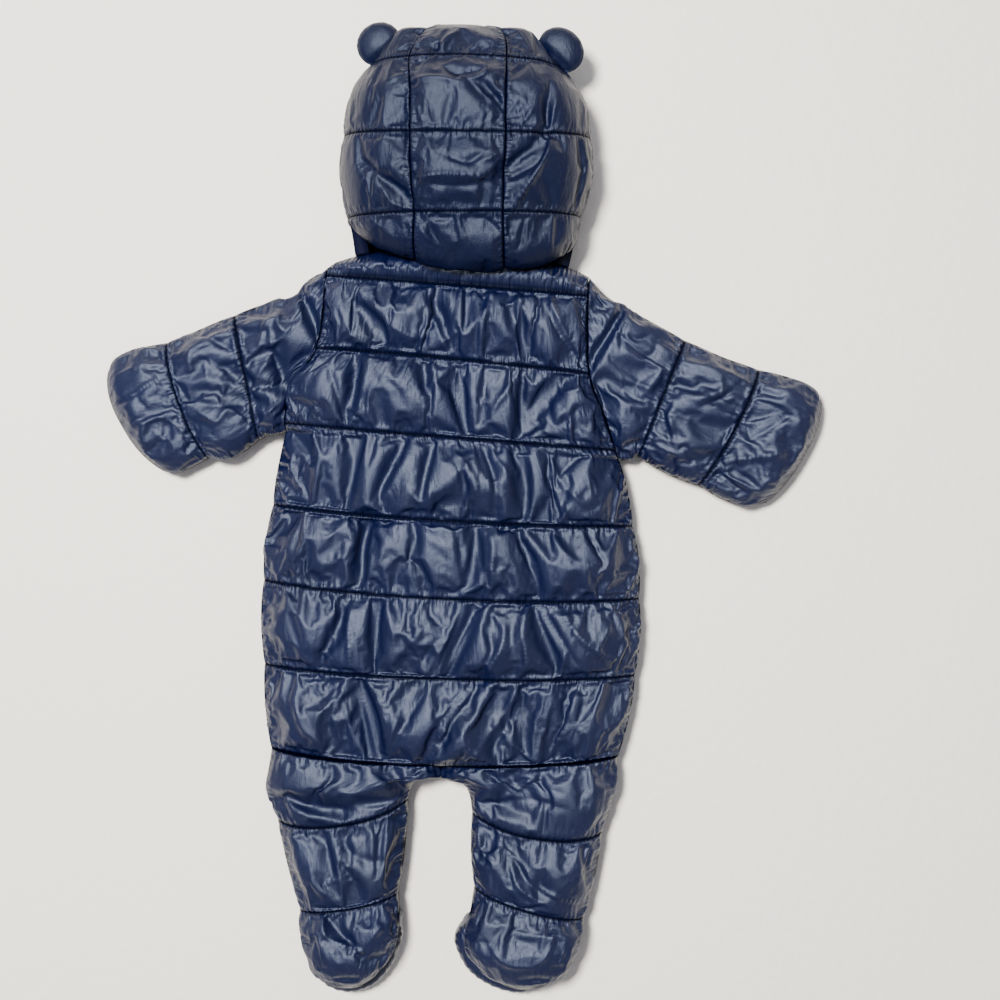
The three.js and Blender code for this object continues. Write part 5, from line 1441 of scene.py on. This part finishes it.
class Hood:
    """The hood's three panels, and the outline that its brim follows."""

    top = 0.1  # where its front edge is, in rows of its table
    lip = 0.13  # how far down the hood its front edge turns down to the brim
    corner_puff = (-0.5, 3.4)  # its puff's factor beside the ears, at the front edge and behind it
    crown_puff = -0.8  # and in the middle of the crown
    hollow = np.array([2.0, 250.0, 20.0])  # what its inner face looks towards
    roof = 2.5  # the least thickness of the wall, measured straight down
    tuck = (3.2, 3.8)  # the rows between which the wall thins towards the neck
    tuck_wall = 5.0
    seam_gap = 0.4
    gather = Gather(
        fuller=0.035, reach=5, fold_spacing=26, fold_height=0.6, pucker=0.4, side_puckers=0.7, creases=HOOD_CREASES
    )
    names = ("hood_side_left", "hood_middle", "hood_side_right")
    widths = (88, 68, 92)

    def base(self, u: np.ndarray, v: np.ndarray) -> Points:
        """The hood's outer surface without its puff."""
        x0, y0, x1, y1 = row_ends(HOOD_LINES, v)
        y = mix(y0, y1, u) + column(HOOD_LINES, v, lambda r: r.bow) * bow_shape(u)
        rise = np.where(v > 3, mix(1, 1.15, v - 3), 1)
        height = mix(HOOD_EDGE, column(HOOD_LINES, v, lambda r: r.crown), np.minimum(1, arch(u) * rise))
        return np.stack([mix(x0, x1, u), y, height], axis=1)

    def normal(self, u: np.ndarray, v: np.ndarray) -> Points:
        """The outward direction."""
        step = 0.01
        across = self.base(np.clip(u + step, 0, 1), v) - self.base(np.clip(u - step, 0, 1), v)
        down = self.base(u, np.minimum(4, v + step)) - self.base(u, np.maximum(0, v - step))
        out = np.cross(down, across)
        return out / np.linalg.norm(out, axis=1, keepdims=True)

    def place(self, index: int, t: np.ndarray, v: np.ndarray) -> np.ndarray:
        """Places across the hood, for places t across one of its panels."""
        left = column(HOOD_LINES, v, lambda r: r.left[0])
        width = column(HOOD_LINES, v, lambda r: r.right[0]) - left
        seams = [(column(HOOD_LINES, v, lambda r, k=k: r.seams[k]) - left) / width for k in (0, 1)]
        edges = [np.zeros_like(v), *seams, np.ones_like(v)]
        gap = self.seam_gap / 2 / width
        start = edges[index] + gap * (index > 0)
        end = edges[index + 1] - gap * (index < 2)
        if index == 0:
            t = 1 - mix(1 - t, np.sin(np.pi / 2 * (1 - t)), 0.7)
        elif index == 2:
            t = mix(t, np.sin(np.pi / 2 * t), 0.7)
        return mix(start, end, t)

    def behind_lip(self, v: np.ndarray) -> np.ndarray:
        """0 on the hood's front edge, which comes down to the brim, and 1 behind it."""
        return smooth((v - self.top) / self.lip)

    def outer(self, index: int) -> Surface:
        """A panel's outer face before it swells."""

        def surface(t: np.ndarray, v: np.ndarray) -> Points:
            u = self.place(index, t, v)
            base, out = self.base(u, v), self.normal(u, v)
            from_seam = (1 - t, np.sin(np.pi * t), t)[index]
            swell = DRAFT_PUFF * HOOD_PUFF * puff(v) * np.clip(from_seam * 2.2, 0, 1) ** 0.6
            corner = mix(*self.corner_puff, smooth((v - self.top) / 0.4))
            crown = mix(corner, self.crown_puff, smooth(1.3 - 1.3 * np.abs(2 * u - 1)))
            swell = swell * np.clip(arch(u) * 1.2 + 0.1, 0, 1) * mix(crown, 1, smooth(v / 0.9))
            depth = fold_depth(HOOD_FOLDS, base[:, 0], base[:, 1]) * arch(u)
            points = base + out * (swell - depth)[:, None]
            points[:, 2] = mix(HOOD_EDGE, np.maximum(points[:, 2], HOOD_EDGE), self.behind_lip(v))
            return points

        return surface

    def inner(self, index: int, t: np.ndarray, v: np.ndarray) -> Points:
        """A panel's plain inner face."""
        u = self.place(index, t, v)
        base, out = self.base(u, v), self.normal(u, v)
        tuck = smooth((v - self.tuck[0]) / (self.tuck[1] - self.tuck[0]))[:, None]
        inward = self.hollow - base
        inward /= np.linalg.norm(inward, axis=1, keepdims=True)
        inward = mix(inward, -out, tuck)
        inward /= np.linalg.norm(inward, axis=1, keepdims=True)
        points = base + inward * mix(HOOD_WALL, self.tuck_wall, tuck)
        roofed = (u > 0.01) & (u < 0.99) & (tuck[:, 0] < 0.5)
        points[:, 2] = np.where(roofed, np.minimum(points[:, 2], base[:, 2] - self.roof), points[:, 2])
        points[:, 2] = mix(HOOD_EDGE, np.maximum(points[:, 2], HOOD_EDGE), self.behind_lip(v))
        return points

    def build(self, cloth: bpy.types.Material, stitching: "Stitching") -> None:
        """Makes and dresses the three panels, from left to right."""
        for index, name in enumerate(self.names):
            cut = Cut((0, 1), (self.top, 1, 2, 3, 4), (48, 60, 56, 60), self.widths[index], 2.2, 0)
            piece, patch = make_cloth(f"{name}_padded", cut, self.outer(index), self.gather, HOOD_EDGE, 10 + index)
            stitching.sew(patch, (1, 2, 3))
            mark_seams(piece, patch)
            close_with(piece, (self.inner(index, patch.u, patch.v) + PLAN_SHIFT) * MM)
            finish_piece(piece, cloth, [name])


@dataclass
class Brim:
    """Half of the brim, a gathered band from the crown down one side of the face opening to the neck."""

    side: Side
    hood: Hood
    outer: tuple[tuple[float, float], ...] = ((0, 33.6), (0.6, 24), (3.5, 13), (9, 4), (14, 0))
    inner: tuple[tuple[float, float], ...] = ((23, 0), (18, 6), (13, 14), (10.5, 24), (9.5, 33.6))
    end: float = 3.3  # how far down the hood's outline it runs
    steps: int = 150
    rounding: int = 14  # how often its corners are softened
    points: int = 12  # on each face of its cross-section
    gathers: float = 0.45
    gather_length: float = 4.6

    def path(self) -> np.ndarray:
        """Its line in plan, from the middle of the crown to the neck."""
        v = (np.arange(self.steps + 1) / self.steps) ** 1.4 * self.end
        edge = self.hood.base(np.full_like(v, 0 if self.side is Side.LEFT else 1), v)[:, :2]
        start = np.array([[-1 + self.side.sign * SEAM_GAP / 2, 333.0]])
        line = np.concatenate([start, edge, [BRIM_FEET[self.side]]])
        run = run_along(line)
        path = points_at(np.linspace(0, run[-1], self.steps), run, line)
        for _ in range(self.rounding):
            path[1:-1] = (path[:-2] + 2 * path[1:-1] + path[2:]) / 4
        return path

    def section(self, profile: Sequence[tuple[float, float]]) -> np.ndarray:
        """One face of the cross-section, as insets and heights."""
        at = np.linspace(0, len(profile) - 1, self.points)
        return points_at(at, np.arange(len(profile)), np.array(profile, float))

    def build(self, cloth: bpy.types.Material) -> None:
        """Makes and dresses the band."""
        path = self.path()
        run = np.gradient(path, axis=0)
        run /= np.linalg.norm(run, axis=1, keepdims=True)
        inward = np.column_stack([run[:, 1], -run[:, 0]]) * self.side.sign
        inward[0] = (0, -1)
        face = np.concatenate([self.section(self.outer), self.section(self.inner)])
        free = np.concatenate([np.sin(np.pi * np.arange(self.points) / (self.points - 1))] * 2)
        length = np.arange(len(path)) * np.linalg.norm(path[1] - path[0])
        wave = np.sin(2 * np.pi * length / self.gather_length + 1.8 * np.sin(length / 9))
        inset = face[None, :, 0] + self.gathers * wave[:, None] * free[None, :]
        plan = path[:, None, :] + inward[:, None, :] * inset[:, :, None]
        height = np.broadcast_to(face[None, :, 1], inset.shape)
        piece = ring_solid(f"brim_{self.side.value}_band", np.concatenate([plan, height[:, :, None]], axis=2))
        finish_piece(piece, cloth, [f"hood_brim_{self.side.value}"])


@dataclass
class Ear:
    """A round stuffed ear, sewn to the hood along a straight base."""

    side: Side
    thick: float = 14.0
    base: float = 9.5  # from its middle to the seam
    count: int = 72
    height: float = 44.0

    def build(self, cloth: bpy.types.Material) -> None:
        """Makes and dresses the ear."""
        centre, radii, turn = EAR_PLACES[self.side]
        angle = 2 * np.pi * np.arange(self.count) / self.count
        rings = []
        for lift in np.sin(np.linspace(-np.pi / 2, np.pi / 2, 21))[1:-1]:
            out = (1 - abs(lift) ** 1.7) ** 0.5
            crimp = 0.1 * np.exp(-(((abs(lift) - 0.3) / 0.25) ** 2)) * np.sin(angle * 17 + 2 * np.sin(angle * 3))
            rim = 1 - 0.03 * np.exp(-((lift / 0.12) ** 2))
            x = (radii[0] * rim + crimp) * out * np.cos(angle)
            y = np.maximum((radii[1] * rim + crimp) * out * np.sin(angle), -self.base)
            flat = smooth((y + self.base) / 7)
            z = lift * self.thick / 2 * mix(0.55, 1, flat)
            rings.append(np.column_stack([x, y, z]))
        rings = np.array(rings)
        c, s = math.cos(math.radians(turn)), math.sin(math.radians(turn))
        x, y = rings[..., 0] * c - rings[..., 1] * s + centre[0], rings[..., 0] * s + rings[..., 1] * c + centre[1]
        placed = np.stack([x, y, rings[..., 2] + self.height], axis=2)
        from_rim = radii[1] - np.hypot(rings[..., 0] * radii[1] / radii[0], rings[..., 1]) + np.abs(rings[..., 2])
        piece = ring_solid(f"ear_{self.side.value}_padded", placed, from_rim * 2.2)
        finish_piece(piece, cloth, [f"ear_{self.side.value}"])


@dataclass
class Stitching:
    """All stitches of the quilting, as one mesh of short spindles of thread."""

    pitch: float = 3.2
    length: float = 2.3
    radius: float = 0.27
    proud: float = 0.3  # of the cloth
    sides: int = 5
    paths: list[tuple[Points, float]] = field(default_factory=list)

    def sew(self, patch: Patch, lines: Sequence[float], under: bool = False) -> None:
        """Takes the stitch lines of a piece.

        Args:
            patch: Its cloth.
            lines: The rows that are sewn.
            under: True where the cloth faces down.
        """
        for at in lines:
            self.paths.append((patch.line(at), -1.0 if under else 1.0))

    def places(self) -> tuple[Points, Points]:
        """The middle of each stitch and the direction that it runs in."""
        middles, runs = [], []
        for path, up in self.paths:
            run = run_along(path)
            at = np.arange(self.pitch, run[-1] - self.pitch, self.pitch)
            start, end = (points_at(at + step, run, path) for step in (-self.length / 2, self.length / 2))
            middles.append((start + end) / 2 + np.array([0, 0, up * self.proud]))
            runs.append((end - start) / np.linalg.norm(end - start, axis=1, keepdims=True))
        return np.concatenate(middles), np.concatenate(runs)

    def build(self, thread: bpy.types.Material) -> None:
        """Makes and dresses the stitches."""
        middle, run = self.places()
        beside = np.cross(run, [0.0, 0.0, 1.0])
        beside /= np.linalg.norm(beside, axis=1, keepdims=True)
        up = np.cross(beside, run)
        angle = 2 * np.pi * np.arange(self.sides) / self.sides
        rings = []
        for along, wide in ((-0.5, 0.35), (-0.3, 1), (0.3, 1), (0.5, 0.35)):
            across = np.cos(angle)[None, :, None] * beside[:, None] + np.sin(angle)[None, :, None] * up[:, None]
            rings.append(middle[:, None] + along * self.length * run[:, None] + wide * self.radius * across)
        points = np.stack(rings, axis=1).reshape(-1, 3)
        n, ring = self.sides, 4 * self.sides
        one = [
            (j * n + k, j * n + (k + 1) % n, (j + 1) * n + (k + 1) % n, (j + 1) * n + k)
            for j in range(3) for k in range(n)
        ]  # fmt: skip
        caps = [tuple(range(n))[::-1], tuple(range(3 * n, 4 * n))]
        faces = [tuple(i + s * ring for i in face) for s in range(len(middle)) for face in one + caps]
        mesh = bpy.data.meshes.new("stitches")
        mesh.from_pydata(points * MM, [], faces)
        finish_piece(add_object("stitches", mesh), thread, [])


@dataclass
class ZipTeeth:
    """The coil of the zip, two rows of small teeth that mesh."""

    pitch: float = 1.5
    width: float = 3.4
    high: tuple[float, float] = (9.7, 11.9)
    inset: float = 2.0

    def build(self, plastic: bpy.types.Material) -> None:
        """Makes and dresses the teeth."""
        top, bottom = np.array(ZIP_TOP), np.array(ZIP_BOTTOM)
        length = float(np.linalg.norm(bottom - top))
        run = (bottom - top) / length
        beside = np.array([-run[1], run[0]])
        mesh = bpy.data.meshes.new("zip_teeth")
        with editing(mesh) as made:
            for k, at in enumerate(np.arange(self.inset, length - self.inset, self.pitch)):
                sign = 1 if k % 2 else -1
                for vert in bmesh.ops.create_cube(made, size=1)["verts"]:
                    inner = 0.5 - vert.co.x
                    across = sign * self.width / 2 * (0.05 + 0.9 * (1 - inner))
                    along = at + vert.co.y * self.pitch * (0.75 - 0.25 * inner)
                    plan = top + run * along + beside * across
                    height = self.high[0] if vert.co.z < 0 else self.high[1]
                    vert.co = Vector((np.array([*plan, height]) + PLAN_SHIFT) * MM)
            bmesh.ops.recalc_face_normals(made, faces=made.faces)
        finish_piece(add_object("zip_teeth", mesh), plastic, ["zip_chain"])


def dress_zip() -> None:
    """Makes the zip's teeth, and dresses its tape, slider and pull tab, whose solids are shown."""
    ZipTeeth().build(PlainFinish("coil_plastic", (0.012, 0.014, 0.045, 1), 0.4).make())
    tape = PlainFinish("zip_tape_weave", (0.010, 0.012, 0.040, 1), 0.8, sheen=0.3, grain_size=1500).make()
    metal = PlainFinish("enamelled_metal", (0.02, 0.024, 0.07, 1), 0.35, metallic=0.6, grain_size=400).make()
    for node, finish in (("zip_tape", tape), ("zip_slider", metal), ("zip_pull", metal)):
        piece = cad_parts[node]
        piece.data.materials.clear()
        piece.data.materials.append(finish)


def make_stage() -> None:
    """The pale surface that the garment lies on."""
    ground = add_object("surface", grid_mesh("surface", 1, 1, size=3))
    shading = Shading("pale_surface")
    peel = shading.bump(shading.noise(shading.place, 130, 2), 0.002, 0.3)
    finish = shading.dress({"Base Color": (0.96, 0.92, 0.86, 1), "Roughness": 0.45, "Normal": peel})
    ground.data.materials.append(finish)


def add_light(
    name: str,
    place: tuple[float, float, float],
    power: float,
    size: float,
    colour: tuple[float, float, float],
    glints: bool = True,
    shadows: bool = True,
) -> None:
    """A soft square lamp that faces the garment.

    Args:
        name: The lamp's name.
        place: Where it stands, in metres.
        power: Its power in watts.
        size: Its side in metres.
        colour: Its light.
        glints: False where glossy cloth doesn't mirror it.
        shadows: False where it gives sheen alone, and neither light nor shadow.
    """
    lamp = bpy.data.lights.new(name, "AREA")
    lamp.energy, lamp.size, lamp.color = power, size, colour
    holder = add_object(name, lamp)
    holder.visible_glossy, holder.visible_diffuse = glints, shadows
    holder.location = place
    holder.rotation_euler = (-Vector(place)).to_track_quat("-Z", "Y").to_euler()


def make_light() -> None:
    """A key lamp at the upper left, two broad soft panels that the cloth mirrors, and the dim room."""
    add_light("key", (-0.50, 0.40, 2.02), 124, 0.36, (1.0, 0.96, 0.90), glints=False)
    add_light("panel", (-0.15, 0.85, 1.85), 52, 1.7, (0.98, 0.98, 1.0), shadows=False)
    add_light("ceiling", (-0.1, -0.25, 2.0), 9, 1.1, (0.98, 0.98, 1.0), shadows=False)
    world = bpy.data.worlds.new("room")
    world.use_nodes = True
    sky = world.node_tree.nodes["Background"].inputs
    sky["Color"].default_value = (0.93, 0.92, 1.0, 1)
    sky["Strength"].default_value = 0.31
    bpy.context.scene.world = world


def make_camera() -> None:
    """A camera straight above, with the photo's frame."""
    lens = bpy.data.cameras.new("above")
    lens.sensor_width = 36
    lens.lens = 56.6
    holder = add_object("above", lens)
    holder.location = (0.0250, 0.0090, 1.13)
    bpy.context.scene.camera = holder


def main() -> None:
    """Builds the snowsuit piece by piece, and the room around it."""
    logging.basicConfig(level=logging.INFO, format="%(name)s: %(message)s")
    make_camera()
    nylon = GlossyNylon().make()
    # painted shade: the hood and ears get a darker, less glossy copy of the nylon, as if less light fell on them
    shaded_hood_nylon = GlossyNylon("hood_nylon_painted_shade", colour=(0.0009, 0.0024, 0.018, 1), specular=0.6).make()
    # the binding's own dark navy, darkened further and dulled as painted shade where the brim lies under the hood's
    # rim
    binding_and_shade = PlainFinish("navy_binding_and_shade", (0.002, 0.003, 0.015, 1), 0.7, specular=0.2).make()
    # the thread's own navy, darkened and made nearly glossless as painted shade of the stitch lines' grooves
    thread = PlainFinish("navy_thread_and_groove_shade", (0.001, 0.002, 0.008, 1), 0.9, specular=0.08, grain_size=2200).make()
    hood, stitching = Hood(), Stitching()
    BackPanel().build(nylon, stitching)
    hood.build(shaded_hood_nylon, stitching)
    for side in Side:
        FrontPanel(side).build(nylon, stitching)
        Sleeve(side).build(nylon, stitching)
        Leg(side).build(nylon, stitching)
        Sole(side).build(nylon)
        Brim(side, hood).build(binding_and_shade)
        Ear(side).build(shaded_hood_nylon)
    stitching.build(thread)
    dress_zip()
    make_stage()
    make_light()


if __name__ == "__main__":
    main()
